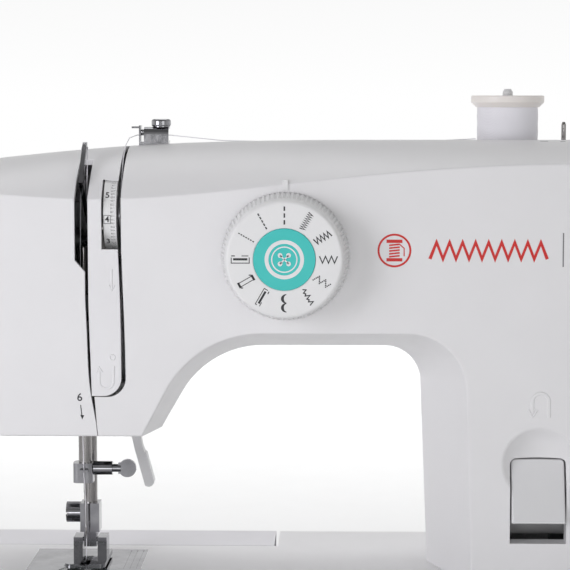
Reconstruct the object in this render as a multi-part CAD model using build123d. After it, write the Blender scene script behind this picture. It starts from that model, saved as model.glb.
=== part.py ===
from build123d import *
from dataclasses import dataclass, fields
from math import atan2, cos, degrees, pi, radians, sin
import os

os.makedirs("parts", exist_ok=True)

# Household sewing machine, standing on its rubber feet.
# Millimetres. Origin: centre of the footprint on the table. +X to the handwheel, -Y to the sewer, +Z up.

# ---- overall sizes -------------------------------------------------------------------------------
HALF_W = 190.0          # handwheel hub and accessory tray reach this far to either side
HALF_D = 79.0           # base and tray, front to back
BED = 78.0              # sewing surface above the table
FRONT, SPLIT, BACK = -34.0, 12.0, 58.0     # arm: front face, joint between the two covers, back face
WALL = 2.5              # plastic wall
RUN = 0.05              # radial running clearance of shafts in their bores
GAP = 0.35              # radial gap between parts that turn past each other without bearing

# ---- lines that the mechanism shares -------------------------------------------------------------
NEEDLE_X, NEEDLE_Y = -119.0, 2.0
PRESSER_X, PRESSER_Y = -118.0, 13.0
SHAFT_Y, SHAFT_Z = 12.0, 228.0
LOWER_Z = 38.0          # lower shaft, straight under the main shaft
HOOK_Y = -14.0          # vertical axis of the rotary hook, in front of the needle
NEEDLE_BAR_R = 3.175
PRESSER_BAR_R = 3.25
SHAFT_R = 4.0


def box(x0, x1, y0, y1, z0, z1):
    return Pos((x0 + x1) / 2, (y0 + y1) / 2, (z0 + z1) / 2) * Box(x1 - x0, y1 - y0, z1 - z0)


def post(x, y, z0, z1, r):
    """Upright cylinder."""
    return Pos(x, y, (z0 + z1) / 2) * Cylinder(r, z1 - z0)


def barrel(y, z, x0, x1, r):
    """Cylinder along X."""
    return Pos((x0 + x1) / 2, y, z) * Rot(0, 90, 0) * Cylinder(r, x1 - x0)


def stud(x, z, y0, y1, r):
    """Cylinder along Y."""
    return Pos(x, (y0 + y1) / 2, z) * Rot(90, 0, 0) * Cylinder(r, y1 - y0)


def slab(outline, y0, y1):
    """Closed outline drawn in X and Z, made into a body between two depths."""
    face = Face(Wire(outline))
    return extrude(Pos(0, y0, 0) * face, amount=y1 - y0, dir=(0, 1, 0))


def ring_cut(shape, axis_shape, count, angle=360.0):
    """Cuts one tool round the Z axis of its own frame, count times, all in one go."""
    return shape - [Rot(0, 0, i * angle / count) * axis_shape for i in range(count)]


def save(name, shape):
    shape.label = name
    export_step(shape, f"parts/{name}.step")


# ---- arm, head and column covers -----------------------------------------------------------------
CROWN_X = (-158.0, -110.0, -30.0, 60.0, 130.0)


@dataclass
class Station:
    """Outline of the covers at one depth, seen from the front."""
    y: float
    left: float             # end of the head
    right: float            # end of the column
    floor: float            # underside of the head
    lean: float             # slope of the flank from the head up into the arch, degrees
    arch_x: float           # where the flank's curve meets the arch
    arch_top: float
    arch_r: float
    column_x: float         # inner side of the column at the arch, and at the bed
    column_foot_x: float
    corner_r: float
    crown: tuple            # heights of the top line at CROWN_X
    crown_slope: float      # slope of the top line at its left end
    left_drop: float        # how far down the rounded shoulders reach
    right_drop: float
    chin: float             # rounding under the head's left end


front = Station(FRONT, -168, 150, 146, 62, -33, 193.6, 50, 60.3, 63, 27,
                (257.6, 255, 261, 269.6, 271.4), -0.07, 22, 24, 9)
middle = Station(SPLIT, -180, 158, 143, 60, -34.2, 182.8, 45, 41, 44.6, 17,
                 (272.4, 277, 280.4, 280.8, 280.8), 0.105, 40, 34, 14)
back = Station(BACK, -172, 152, 147, 62, -34, 189, 48, 53, 56, 24,
               (262, 266, 268.5, 270, 270), 0.06, 26, 28, 10)
ARCH_FIELDS = {"floor", "lean", "arch_x", "arch_top", "arch_r", "column_x", "column_foot_x", "corner_r"}


def between(a, b, y, shell, arch):
    """Station part of the way from a to b; the shell's and the arch's bulge are set apart."""
    made = {"y": y}
    for field in fields(Station):
        if field.name == "y":
            continue
        w = arch if field.name in ARCH_FIELDS else shell
        p, q = getattr(a, field.name), getattr(b, field.name)
        if isinstance(p, tuple):
            made[field.name] = tuple(u + (v - u) * w for u, v in zip(p, q))
        else:
            made[field.name] = p + (q - p) * w
    return Station(**made)


def section(s, inset=0.0, foot=BED, y=None):
    """Closed face of the covers at one station, drawn inset by a wall where asked."""
    y = s.y if y is None else y

    def p(x, z):
        return (x, y, z)

    lean = radians(s.lean)
    r = s.arch_r + inset
    arch_z = s.arch_top - s.arch_r
    flank = (s.arch_x - r * sin(lean), arch_z + r * cos(lean))
    mid_arc = (s.arch_x - r * sin(lean / 2), arch_z + r * cos(lean / 2))
    floor = s.floor + inset
    corner = (flank[0] - (flank[1] - floor) / sin(lean) * cos(lean), floor)
    c = s.corner_r + inset
    cx, cz = s.column_x - s.corner_r, s.arch_top - s.corner_r
    left, right = s.left + inset, s.right - inset
    crown = [(x, z - inset) for x, z in zip(CROWN_X, s.crown)]
    tl, tr = crown[0], crown[-1]
    lw, rw = tl[0] - left, right - tr[0]
    soft, tight = 0.58, 0.42            # how squarely the shoulders turn
    edges = [
        Line(p(left + s.chin, floor), p(*corner)),
        Line(p(*corner), p(*flank)),
        ThreePointArc(p(*flank), p(*mid_arc), p(s.arch_x, arch_z + r)),
        Line(p(s.arch_x, arch_z + r), p(cx, cz + c)),
        ThreePointArc(p(cx, cz + c), p(cx + c * sin(pi / 4), cz + c * cos(pi / 4)), p(cx + c, cz)),
        Line(p(cx + c, cz), p(s.column_foot_x + inset, foot)),
        Line(p(s.column_foot_x + inset, foot), p(right, foot)),
        Line(p(right, foot), p(right, tr[1] - s.right_drop)),
        Bezier(p(right, tr[1] - s.right_drop), p(right, tr[1] - s.right_drop * tight),
               p(tr[0] + rw * soft, tr[1]), p(*tr)),
        Spline(*[p(*q) for q in reversed(crown)], tangents=[(-1, 0, 0), (-1, 0, -s.crown_slope)]),
        Bezier(p(*tl), p(tl[0] - lw * soft, tl[1] - lw * soft * s.crown_slope),
               p(left, tl[1] - s.left_drop * tight), p(left, tl[1] - s.left_drop)),
        Line(p(left, tl[1] - s.left_drop), p(left, floor + s.chin)),
        Bezier(p(left, floor + s.chin), p(left, floor + s.chin * tight),
               p(left + s.chin * tight, floor), p(left + s.chin, floor)),
    ]
    return Face(Wire(edges))


front_bulge = between(front, middle, -12, 0.72, 0.5)
rear_bulge = between(middle, back, 38, 0.28, 0.5)
DEEP = BED - 5          # the hollow runs out through the open foot of the column


def edge_ring(shape, y):
    """Edges of the flat end face at depth y, without the ones at the foot."""
    found = []
    for e in shape.edges():
        b = e.bounding_box()
        if abs(b.min.Y - y) < 0.05 and abs(b.max.Y - y) < 0.05 and e.center().Z > BED + 0.5:
            found.append(e)
    return found


front_solid = loft([section(front), section(front_bulge), section(middle)])
front_solid = fillet(edge_ring(front_solid, FRONT), 1.0)
front_hollow = loft([section(front, WALL, DEEP, FRONT + WALL), section(front_bulge, WALL, DEEP),
                     section(middle, WALL, DEEP)])
rear_solid = loft([section(middle), section(rear_bulge), section(back)])
rear_solid = fillet(edge_ring(rear_solid, BACK), 5.0)
rear_hollow = loft([section(middle, WALL, DEEP), section(rear_bulge, WALL, DEEP),
                    section(back, WALL, DEEP, BACK - WALL)])
front_shell = front_solid - front_hollow
rear_shell = rear_solid - rear_hollow

# ---- threading slots, the tongue between them and the face plate ---------------------------------
OVER, UNDER, BEYOND = 300.0, 136.0, -200.0   # above, below and to the left of everything in the head
LEVER_SLOT = (-118.6, -112.4)       # wide part of the left slot, for the take-up lever
LEVER_SLOT_END = -9.0               # the slot starts this far back on the crown
SLOT_FLOOR = 221.7                  # the left slot narrows here
NARROW_LEFT, NARROW_TOP = -114.0, 212.0
TONGUE_END = 164.7
RIGHT_SLOT = (-99.2, -97.3)         # at the crown; it drifts to the right lower down
CORNER_Z = 173.0                    # the right slot turns under the tongue from here down
DOWN = (0, 0, -1)


def left_of(edges):
    """Everything in the front cover to the left of a seam that runs from OVER down to UNDER."""
    top, bottom = edges[0] @ 0, edges[-1] @ 1
    return slab(edges + [Line(bottom, (BEYOND, 0, UNDER)), Line((BEYOND, 0, UNDER), (BEYOND, 0, OVER)),
                         Line((BEYOND, 0, OVER), top)], FRONT - 5, SPLIT)


left_of_slot = left_of([
    Line((LEVER_SLOT[0], 0, OVER), (LEVER_SLOT[0], 0, 227)),
    Line((LEVER_SLOT[0], 0, 227), (NARROW_LEFT, 0, SLOT_FLOOR)),
    Line((NARROW_LEFT, 0, SLOT_FLOOR), (NARROW_LEFT, 0, NARROW_TOP)),
    Spline((NARROW_LEFT, 0, NARROW_TOP), (-113.4, 0, 195), (-111.7, 0, 165), (-109.2, 0, 150),
           (-108.9, 0, UNDER), tangents=[DOWN, DOWN]),
])
left_of_tongue = left_of([
    Line((LEVER_SLOT[1], 0, OVER), (LEVER_SLOT[1], 0, NARROW_TOP)),
    Spline((LEVER_SLOT[1], 0, NARROW_TOP), (-112.0, 0, 193), (-111.2, 0, 164), (-109.9, 0, UNDER),
           tangents=[DOWN, (0.1, 0, -1)]),
])
left_of_cover = left_of([
    Line((LEVER_SLOT[1], 0, OVER), (LEVER_SLOT[1], 0, NARROW_TOP)),
    Line((LEVER_SLOT[1], 0, NARROW_TOP), (-110.0, 0, 164.3)),
    Line((-110.0, 0, 164.3), (-108.5, 0, 146)),
    Line((-108.5, 0, 146), (-108.4, 0, UNDER)),
])


def tongue_prism(top_x, side, corner_x, end, r):
    """Strip from the left slot to a side that bends slightly, with a rounded lower right corner."""
    return slab([
        Line((-125, 0, OVER), (top_x, 0, OVER)),
        Line((top_x, 0, OVER), (top_x, 0, 245)),
        Spline((top_x, 0, 245), (side, 0, 222), (corner_x, 0, CORNER_Z), tangents=[DOWN, DOWN]),
        ThreePointArc((corner_x, 0, CORNER_Z), (corner_x - r * 0.293, 0, end + (CORNER_Z - end) * 0.293),
                      (corner_x - r, 0, end)),
        Line((corner_x - r, 0, end), (-125, 0, end)),
        Line((-125, 0, end), (-125, 0, OVER)),
    ], FRONT - 5, SPLIT)


tongue_space = tongue_prism(RIGHT_SLOT[1], -96.9, -95.6, TONGUE_END - 0.45, 8.4) - left_of_cover
# The cover closes the crown behind the lever's slot.
bridge = box(LEVER_SLOT[0] + 0.2, LEVER_SLOT[1] + 1, LEVER_SLOT_END, SPLIT, 255, OVER)
tongue_shape = tongue_prism(RIGHT_SLOT[0], -98.5, -97.7, TONGUE_END, 8.3) - left_of_tongue + bridge
wheel_window = box(-106.3, RIGHT_SLOT[0] + 1.5, FRONT - 5, -20, 232.0, 262.7)

face_plate = front_shell & left_of_slot
TENSION_Y, TENSION_Z = -15.0, 247.3
TENSION_R = 18.0
wheel_space = barrel(TENSION_Y, TENSION_Z, -106.3, RIGHT_SLOT[0] + 1, TENSION_R + 0.6)
thread_path_cover = (front_shell & tongue_shape) - wheel_window - wheel_space
front_cover = front_shell - left_of_cover - tongue_space

# ---- openings in the covers ----------------------------------------------------------------------
DIAL_X, DIAL_Z = -22.5, 229.2
LIFTER_X, LIFTER_Z = -103.0, 152.0
WINDER_X, WINDER_Y = 112.2, 50.0
SPOOL_X, SPOOL_Y = 83.55, 38.0
SEAT_R, SEAT_Z = 22.0, 276.6        # flat round seat for the spool, sunk in the top
GUIDE_X, GUIDE_Y = -83.35, 20.0      # upper thread guide
shaft_hole = barrel(SHAFT_Y, SHAFT_Z, 140, 170, 9.0)
bar_opening = box(-133, -100, -12, 24, 138, 150)
lifter_opening = box(-112, -80, 38, 51, 138, 164)
pointer = box(DIAL_X - 1.25, DIAL_X + 1.15, FRONT - 0.7, FRONT + 5, 259.2, 263.7)

# Dished pocket for the reverse lever, low on the column.
LEVER_X = (81.1, 105.5)
LEVER_TOP = 135.2
LEVER_PIVOT_Y, LEVER_PIVOT_Z = 12.0, 118.0
DISH_X, DISH_Z, DISH_R, DISH_DEPTH = 93.6, 133.8, 16.8, 7.0
dish_sphere = (DISH_R ** 2 + DISH_DEPTH ** 2) / (2 * DISH_DEPTH)
dish = Pos(DISH_X, FRONT + DISH_DEPTH - dish_sphere, DISH_Z) * Sphere(dish_sphere)
backing = box(74, 113, FRONT + 1, FRONT + 9.8, 92, 153)


def lever_outline(grow, y0, y1, z0):
    """Upright block with the lever's rounded upper corners."""
    block = box(LEVER_X[0] - grow, LEVER_X[1] + grow, y0, y1, z0, LEVER_TOP + grow)
    return fillet(block.edges().filter_by(Axis.Y).group_by(Axis.Z)[-1], 2.0 + grow)


front_cover = front_cover + (backing & front_solid) - dish
rim = [e for e in front_cover.edges().filter_by(GeomType.CIRCLE)
       if abs(e.radius - DISH_R) < 0.01 and abs(e.center().Y - FRONT) < 0.01]
front_cover = fillet(rim, 1.8) - lever_outline(0.7, FRONT - 2, -10, 97.0)
front_cover = front_cover - shaft_hole - bar_opening - stud(DIAL_X, DIAL_Z, FRONT - 1, -28, 5.0) - pointer
face_plate = face_plate - bar_opening

SCREW_HEAD_R, SCREW_R = 3.4, 1.7
REAR_SCREWS = ((-160, 240), (-20, 240), (140, 250), (140, 100))      # X and Z on the back
right_top_slot = box(RIGHT_SLOT[0], RIGHT_SLOT[1], SPLIT - 1, 20, 262, OVER)
grip_pocket = box(-10, 80, BACK - 13, BACK + 2, 222, 250)
grip_wall = box(-12.5, 82.5, BACK - 15.5, BACK - 1, 219.5, 252.5)
vents = [box(70 + 9 * i, 74 + 9 * i, BACK - 6, BACK + 2, 105, 150) for i in range(7)]
spool_seat = post(SPOOL_X, SPOOL_Y, SEAT_Z, 290, SEAT_R)
seat_wall = post(SPOOL_X, SPOOL_Y, SEAT_Z - WALL, 290, SEAT_R + WALL) & rear_solid
lamp_hole = box(-157.2, -140.8, 23.8, 32.2, 138, 150)
rear_cover = rear_shell + (grip_wall & rear_solid) + seat_wall - grip_pocket - spool_seat - lamp_hole
rear_cover = rear_cover - shaft_hole - bar_opening - lifter_opening - right_top_slot - vents
rear_cover = rear_cover - post(SPOOL_X, SPOOL_Y, 255, 290, 2.5) - post(GUIDE_X, GUIDE_Y, 270, 290, 1.25)
rear_cover = rear_cover - box(WINDER_X - 2, WINDER_X + 6.4, WINDER_Y - 2, WINDER_Y + 2, 262, 290)
for sx, sz in REAR_SCREWS:
    rear_cover = rear_cover - stud(sx, sz, BACK - 8, BACK + 2, SCREW_R)


def pan_screw(x, z, y):
    """Cross-head screw seen from behind, head outside the cover."""
    head = stud(x, z, y, y + 1.8, SCREW_HEAD_R) - box(x - 2, x + 2, y + 1, y + 3, z - 0.4, z + 0.4)
    head = head - box(x - 0.4, x + 0.4, y + 1, y + 3, z - 2, z + 2)
    return head + stud(x, z, y - 8, y, SCREW_R)


rear_screws = [pan_screw(sx, sz, BACK) for sx, sz in REAR_SCREWS]

save("front_cover", front_cover)
save("face_plate", face_plate)
save("thread_path_cover", thread_path_cover)
save("rear_cover", rear_cover)
save("rear_screws", Compound(children=rear_screws))
save("dial_pointer", pointer)

# ---- base, free arm and bottom plate -------------------------------------------------------------
BASE_X = (-28.0, 158.0)
ARM_END = -182.0
ARM_Y = (-38.0, 42.0)
ARM_FLOOR = 20.0
HOOK_X = NEEDLE_X
COVER_R = 12.0           # round back end of the bobbin cover, centred on the hook
COVER_X = (-140.0, -98.0)
COVER_FRONT = -33.0
PLATE_X = (-146.0, -92.0)
PLATE_Y = (COVER_FRONT - 0.3, 33.0)

base_block = box(*BASE_X, -HALF_D, HALF_D, 6, BED)
base_block = fillet([e for e in base_block.edges().filter_by(Axis.Z) if e.center().X > 0], 18)
base_block = fillet([e for e in base_block.faces().sort_by(Axis.Z)[-1].edges() if e.center().X > 0], 3)
arm_block = box(ARM_END, BASE_X[0] + 4, *ARM_Y, ARM_FLOOR, BED)
arm_block = fillet([e for e in arm_block.edges() if e.center().X < ARM_END + 1], 10)
base_hollow = box(BASE_X[0] + 3, BASE_X[1] - 3, -HALF_D + 3, HALF_D - 3, 0, BED - 3)
base_hollow = fillet([e for e in base_hollow.edges().filter_by(Axis.Z) if e.center().X > 0], 15)
arm_hollow = box(ARM_END + 3, BASE_X[0] + 8, ARM_Y[0] + 3, ARM_Y[1] - 3, ARM_FLOOR + 3, BED - 3)
column_way = box(67, 146, -28, 54, BED - 6, BED + 2)
plate_seat = box(*PLATE_X, *PLATE_Y, BED - 2, BED + 1)
plate_way = box(PLATE_X[0] + 4, PLATE_X[1] - 4, PLATE_Y[0] + 1, PLATE_Y[1] - 4, BED - 6, BED)
INLET_Y, INLET_Z = -30.0, 42.0
SWITCH_Y = 10.0
inlet_hole = box(150, 165, INLET_Y - 14, INLET_Y + 14, INLET_Z - 11, INLET_Z + 11)
switch_hole = box(150, 165, SWITCH_Y - 10.5, SWITCH_Y + 10.5, INLET_Z - 7.5, INLET_Z + 7.5)
base_housing = base_block + arm_block - base_hollow - arm_hollow - column_way
COVER_SLIDE = 17.0      # the bobbin cover slides this far to the front
cover_track = box(COVER_X[0], COVER_X[1], ARM_Y[0] - 1, PLATE_Y[0] + 1, BED - 2, BED + 1)
base_housing = base_housing - plate_seat - plate_way - cover_track - inlet_hole - switch_hole
FEET = ((-12.0, -64.0), (-12.0, 64.0), (142.0, -62.0), (142.0, 62.0))
base_housing = base_housing - [post(x, y, 0, 30, 1.5) for x, y in FEET]
LOWER_BORE = barrel(SHAFT_Y, LOWER_Z, -70, 40, SHAFT_R + RUN)
hook_bracket = box(-134, -104, HOOK_Y - 12, HOOK_Y + 10, ARM_FLOOR + 2, 33.4)
base_housing = base_housing + (hook_bracket - post(HOOK_X, HOOK_Y, 21.5, 40, SHAFT_R + RUN))
base_housing = base_housing + (box(-66, -54, 2, 22, ARM_FLOOR + 2, LOWER_Z + 10) - LOWER_BORE)
save("base_housing", base_housing)

bottom_plate = box(BASE_X[0], BASE_X[1], -HALF_D, HALF_D, 3.5, 6)
bottom_plate = fillet([e for e in bottom_plate.edges().filter_by(Axis.Z) if e.center().X > 0], 18)
bottom_plate = bottom_plate - [post(x, y, 0, 10, 2.0) for x, y in FEET]
bottom_plate = bottom_plate - [box(20 + 12 * i, 25 + 12 * i, 20, 62, 0, 10) for i in range(6)]
bottom_plate = bottom_plate + (box(20, 32, 2, 19, 5, LOWER_Z + 10) - LOWER_BORE)
save("bottom_plate", bottom_plate)


def rubber_foot(x, y):
    foot = Pos(x, y, 1.75) * Cone(9.0, 10.0, 3.5)
    return foot + post(x, y, 3.5, 8, 2.0) - post(x, y, -1, 1, 4.0)


save("rubber_feet", Compound(children=[rubber_foot(x, y) for x, y in FEET]))

# ---- needle plate, bobbin cover and feed dogs ----------------------------------------------------
cover_space = box(COVER_X[0], COVER_X[1], PLATE_Y[0], HOOK_Y, BED - 3, BED + 1)
cover_space = cover_space + post(HOOK_X, HOOK_Y, BED - 3, BED + 1, COVER_R)
FEED_ROWS = ((-127.0, -1.0, 22.0), (-119.0, 8.0, 22.0), (-111.0, -1.0, 22.0))     # X, front, back
FEED_PLAY = 2.6         # room for the feed dogs' stroke before and behind each row
needle_plate = box(*PLATE_X, *PLATE_Y, BED - 2, BED) - cover_space
needle_slot = box(NEEDLE_X - 3, NEEDLE_X + 3, NEEDLE_Y - 1, NEEDLE_Y + 1.5, BED - 4, BED + 1)
needle_plate = needle_plate - needle_slot
for row_x, row_front, row_back in FEED_ROWS:
    needle_plate = needle_plate - box(row_x - 2, row_x + 2, row_front - FEED_PLAY, row_back + FEED_PLAY,
                                      BED - 4, BED + 1)
for line_x in (-100, -97, -94):                       # seam guide lines
    needle_plate = needle_plate - box(line_x - 0.2, line_x + 0.2, -8, 30, BED - 0.2, BED + 1)
save("needle_plate", needle_plate)

bobbin_cover = box(COVER_X[0] + 0.3, COVER_X[1] - 0.3, COVER_FRONT, HOOK_Y, BED - 2, BED - 0.1)
bobbin_cover = bobbin_cover + post(HOOK_X, HOOK_Y, BED - 2, BED - 0.1, COVER_R - GAP)
bobbin_cover = bobbin_cover - stud(HOOK_X - 16, BED + 1.2, -30, -16, 2.2)
save("bobbin_cover", bobbin_cover)

DOG_FOOT = (71.0, 73.5)
TOOTH_PITCH = 1.6
feed_dogs = box(-129, -109, 6, 22, *DOG_FOOT)
feed_dogs = feed_dogs + box(-129, -125.2, -3, 8, *DOG_FOOT) + box(-112.8, -109, -3, 8, *DOG_FOOT)
for row_x, row_front, row_back in FEED_ROWS:
    strip = box(row_x - 1.3, row_x + 1.3, row_front, row_back, DOG_FOOT[0], BED + 0.9)
    count = int((row_back - row_front) // TOOTH_PITCH) + 1
    teeth = [Pos(row_x, row_front + TOOTH_PITCH * i, BED + 1.1) * Rot(45, 0, 0) * Box(4, 0.9, 0.9)
             for i in range(count)]
    feed_dogs = feed_dogs + (strip - teeth)
save("feed_dogs", feed_dogs)

# ---- accessory tray round the free arm -----------------------------------------------------------
TRAY_X = (-HALF_W, -30.0)
TRAY_FLOOR = 4.0
DOOR_X = (-172.0, -48.0)
DOOR_Z = (14.0, 68.0)
tray = box(*TRAY_X, -HALF_D, HALF_D, TRAY_FLOOR, BED)
tray = fillet([e for e in tray.edges().filter_by(Axis.Z) if e.center().X < -100], 20)
tray = fillet([e for e in tray.faces().sort_by(Axis.Z)[-1].edges() if e.center().X < -35], 2.5)
tray = tray - box(ARM_END - 0.8, TRAY_X[1] + 5, ARM_Y[0] - 0.8, ARM_Y[1] + 0.8, TRAY_FLOOR - 1, BED + 1)
FRONT_BAY = box(TRAY_X[0] + 20, TRAY_X[1] - 3, -HALF_D + 3, ARM_Y[0] - 4, TRAY_FLOOR + 2.5, BED - 2.5)
REAR_BAY = box(TRAY_X[0] + 20, TRAY_X[1] - 3, ARM_Y[1] + 4, HALF_D - 3, TRAY_FLOOR - 1, BED - 2.5)
tray = tray - FRONT_BAY - REAR_BAY
track_end = COVER_FRONT - COVER_SLIDE - 0.8
tray = tray + box(COVER_X[0] - 3, COVER_X[1] + 3, track_end - 3, ARM_Y[0] - 2, BED - 5.5, BED - 1)
tray = tray - box(*COVER_X, track_end, ARM_Y[0] + 1, BED - 2.4, BED + 1)
tray = tray - box(*DOOR_X, -HALF_D - 1, -HALF_D + 5, *DOOR_Z)
HINGE_Y, HINGE_Z = -HALF_D + 2.2, DOOR_Z[0] + 2.6
tray = tray - barrel(HINGE_Y, HINGE_Z, DOOR_X[0] - 4, DOOR_X[1] + 4, 1.2 + RUN)
save("accessory_tray", tray)
tray_door = box(DOOR_X[0] + 0.4, DOOR_X[1] - 0.4, -HALF_D, -HALF_D + 2.5, HINGE_Z, DOOR_Z[1] - 0.4)
tray_door = tray_door + barrel(HINGE_Y, HINGE_Z, DOOR_X[0] + 0.4, DOOR_X[1] - 0.4, 2.2)
tray_door = tray_door + barrel(HINGE_Y, HINGE_Z, DOOR_X[0] - 3.6, DOOR_X[1] + 3.6, 1.2)
tray_door = tray_door - stud(-110, DOOR_Z[1] - 0.4, -HALF_D - 1, -HALF_D + 1.2, 9)
save("tray_door", tray_door)

# ---- hook, bobbin case and bobbin ----------------------------------------------------------------
hook = post(HOOK_X, HOOK_Y, 52, 70.2, 15.0) - post(HOOK_X, HOOK_Y, 54, 72, 13.6)
hook = hook - box(HOOK_X + 4, HOOK_X + 20, HOOK_Y - 2, HOOK_Y + 20, 60, 66)     # beak and its clearance
hook = hook + post(HOOK_X, HOOK_Y, 25, 53, SHAFT_R) + post(HOOK_X, HOOK_Y, 34, 42, 12.5)
save("rotary_hook", hook)
bobbin_case = post(HOOK_X, HOOK_Y, 54.4, 70.6, 13.2) - post(HOOK_X, HOOK_Y, 56, 72, 11.2)
bobbin_case = bobbin_case + box(HOOK_X - 20, HOOK_X - 12, HOOK_Y - 3, HOOK_Y + 3, 70.4, 72)
bobbin_case = bobbin_case - post(HOOK_X, HOOK_Y, 56, 80, 11.2)
save("bobbin_case", bobbin_case)
bobbin = post(HOOK_X, HOOK_Y, 56.4, 57.4, 10.3) + post(HOOK_X, HOOK_Y, 66.8, 67.8, 10.3)
bobbin = bobbin + post(HOOK_X, HOOK_Y, 56.4, 67.8, 4.4) - post(HOOK_X, HOOK_Y, 50, 70, 3.0)
bobbin = bobbin - [Pos(HOOK_X, HOOK_Y, 62) * Rot(0, 0, 60 * i) * Pos(7.2, 0, 0) * Cylinder(1.1, 20)
                   for i in range(6)]
save("bobbin", bobbin)
save("bobbin_thread", post(HOOK_X, HOOK_Y, 57.4, 66.8, 8.6) - post(HOOK_X, HOOK_Y, 57, 67, 4.4)
     - [Pos(HOOK_X, HOOK_Y, 62) * Rot(0, 0, 60 * i) * Pos(7.2, 0, 0) * Cylinder(1.1, 20) for i in range(6)])

# ---- lower shaft ---------------------------------------------------------------------------------
LOWER_X = (-128.0, 132.0)
TIMING_X = (118.0, 126.0)
TIMING_R = 13.0
lower_shaft = barrel(SHAFT_Y, LOWER_Z, *LOWER_X, SHAFT_R) + barrel(SHAFT_Y, LOWER_Z, -123, -115, 13.0)


def toothed_pulley(z):
    wheel = barrel(SHAFT_Y, z, *TIMING_X, TIMING_R)
    notch = Pos(122, SHAFT_Y, z)
    cutters = [notch * Rot(12 * i, 0, 0) * Pos(0, TIMING_R, 0) * Box(12, 1.4, 1.3) for i in range(30)]
    flanges = [barrel(SHAFT_Y, z, x, x + 1, TIMING_R + 2.4) for x in (TIMING_X[0] - 1, TIMING_X[1])]
    return wheel - cutters + flanges


save("lower_shaft", lower_shaft + toothed_pulley(LOWER_Z))


def belt(y0, z0, r0, y1, z1, r1, x0, x1, thick):
    """Flat belt round two pulleys, drawn clear of both."""
    def loop(extra):
        circles = [Pos(x0, y0, z0) * Rot(0, 90, 0) * CenterArc((0, 0, 0), r0 + extra, 0, 360),
                   Pos(x0, y1, z1) * Rot(0, 90, 0) * CenterArc((0, 0, 0), r1 + extra, 0, 360)]
        flat = [Rot(0, -90, 0) * Pos(-x0, 0, 0) * c for c in circles]
        return extrude(Pos(x0, 0, 0) * Rot(0, 90, 0) * make_hull([e for c in flat for e in c.edges()]),
                       amount=x1 - x0, dir=(1, 0, 0))
    return loop(GAP + thick) - loop(GAP)


save("timing_belt", belt(SHAFT_Y, SHAFT_Z, TIMING_R, SHAFT_Y, LOWER_Z, TIMING_R, TIMING_X[0] + 0.5,
                         TIMING_X[1] - 0.5, 1.4))

# ---- motor and its belt --------------------------------------------------------------------------
MOTOR_Y, MOTOR_Z = 48.0, 40.0
MOTOR_X = (42.0, 104.0)
BELT_X = (137.0, 143.0)
MOTOR_PULLEY_R, HAND_PULLEY_R = 7.0, 20.0
motor = barrel(MOTOR_Y, MOTOR_Z, *MOTOR_X, 25.0) + box(MOTOR_X[0] + 8, MOTOR_X[1] - 8, 30, 66, 6, 24)
motor = motor - barrel(MOTOR_Y, MOTOR_Z, 90, 110, 3.0 + RUN)
motor = motor - [Pos(70, MOTOR_Y, MOTOR_Z) * Rot(45 * i, 0, 0) * Pos(0, 25, 0) * Box(34, 3, 6)
                 for i in (-1, 1, 3)]
save("motor", motor)
motor_rotor = barrel(MOTOR_Y, MOTOR_Z, 91, 146, 3.0)
for x0, r in ((BELT_X[0] - 1.5, MOTOR_PULLEY_R + 2.4), (BELT_X[1] + 0.2, MOTOR_PULLEY_R + 2.4)):
    motor_rotor = motor_rotor + barrel(MOTOR_Y, MOTOR_Z, x0, x0 + 1.3, r)
motor_rotor = motor_rotor + barrel(MOTOR_Y, MOTOR_Z, BELT_X[0] - 0.5, BELT_X[1] + 0.5, MOTOR_PULLEY_R)
save("motor_pulley", motor_rotor)
save("motor_belt", belt(SHAFT_Y, SHAFT_Z, HAND_PULLEY_R, MOTOR_Y, MOTOR_Z, MOTOR_PULLEY_R, BELT_X[0] + 0.3,
                        BELT_X[1] - 0.3, 1.4))

# ---- main shaft, crank and handwheel -------------------------------------------------------------
CRANK_X = (-109.6, -106.4)
main_shaft = barrel(SHAFT_Y, SHAFT_Z, CRANK_X[1], 186, SHAFT_R) + barrel(SHAFT_Y, SHAFT_Z, *CRANK_X, 15.0)
save("main_shaft", main_shaft + toothed_pulley(SHAFT_Z))
hand_pulley = barrel(SHAFT_Y, SHAFT_Z, BELT_X[0] - 0.5, BELT_X[1] + 0.5, HAND_PULLEY_R)
for x0 in (BELT_X[0] - 1.5, BELT_X[1] + 0.2):
    hand_pulley = hand_pulley + barrel(SHAFT_Y, SHAFT_Z, x0, x0 + 1.3, HAND_PULLEY_R + 2.4)
hand_pulley = hand_pulley + barrel(SHAFT_Y, SHAFT_Z, BELT_X[1], 166, 7.0)
WHEEL_R = 35.0
wheel = Cylinder(WHEEL_R, 24)
wheel = fillet(wheel.edges().sort_by(Axis.Z)[0], 2)
wheel = fillet(wheel.edges().group_by(Axis.Z)[-1], 6)
wheel = ring_cut(wheel, Pos(WHEEL_R + 1.2, 0, 0) * Cylinder(2.0, 30), 36)
wheel = wheel - Pos(0, 0, 8) * Cylinder(24, 10) - Pos(0, 0, -10) * Cylinder(27, 12) - Cylinder(SHAFT_R, 40)
wheel = wheel + (Pos(0, 0, -6) * Cylinder(9, 12) - Cylinder(SHAFT_R, 40))
wheel = Pos(172, SHAFT_Y, SHAFT_Z) * Rot(0, 90, 0) * wheel + hand_pulley
save("handwheel", wheel - barrel(SHAFT_Y, SHAFT_Z, 130, 180, SHAFT_R))
knob = Cylinder(15, HALF_W - 176)
knob = fillet(knob.edges().sort_by(Axis.Z)[-1], 3)
knob = ring_cut(knob, Pos(15.6, 0, 3) * Cylinder(1.3, 20), 24) - Pos(0, 0, -3) * Cylinder(SHAFT_R, 16)
save("clutch_knob", Pos((HALF_W + 176) / 2, SHAFT_Y, SHAFT_Z) * Rot(0, 90, 0) * knob)

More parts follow.
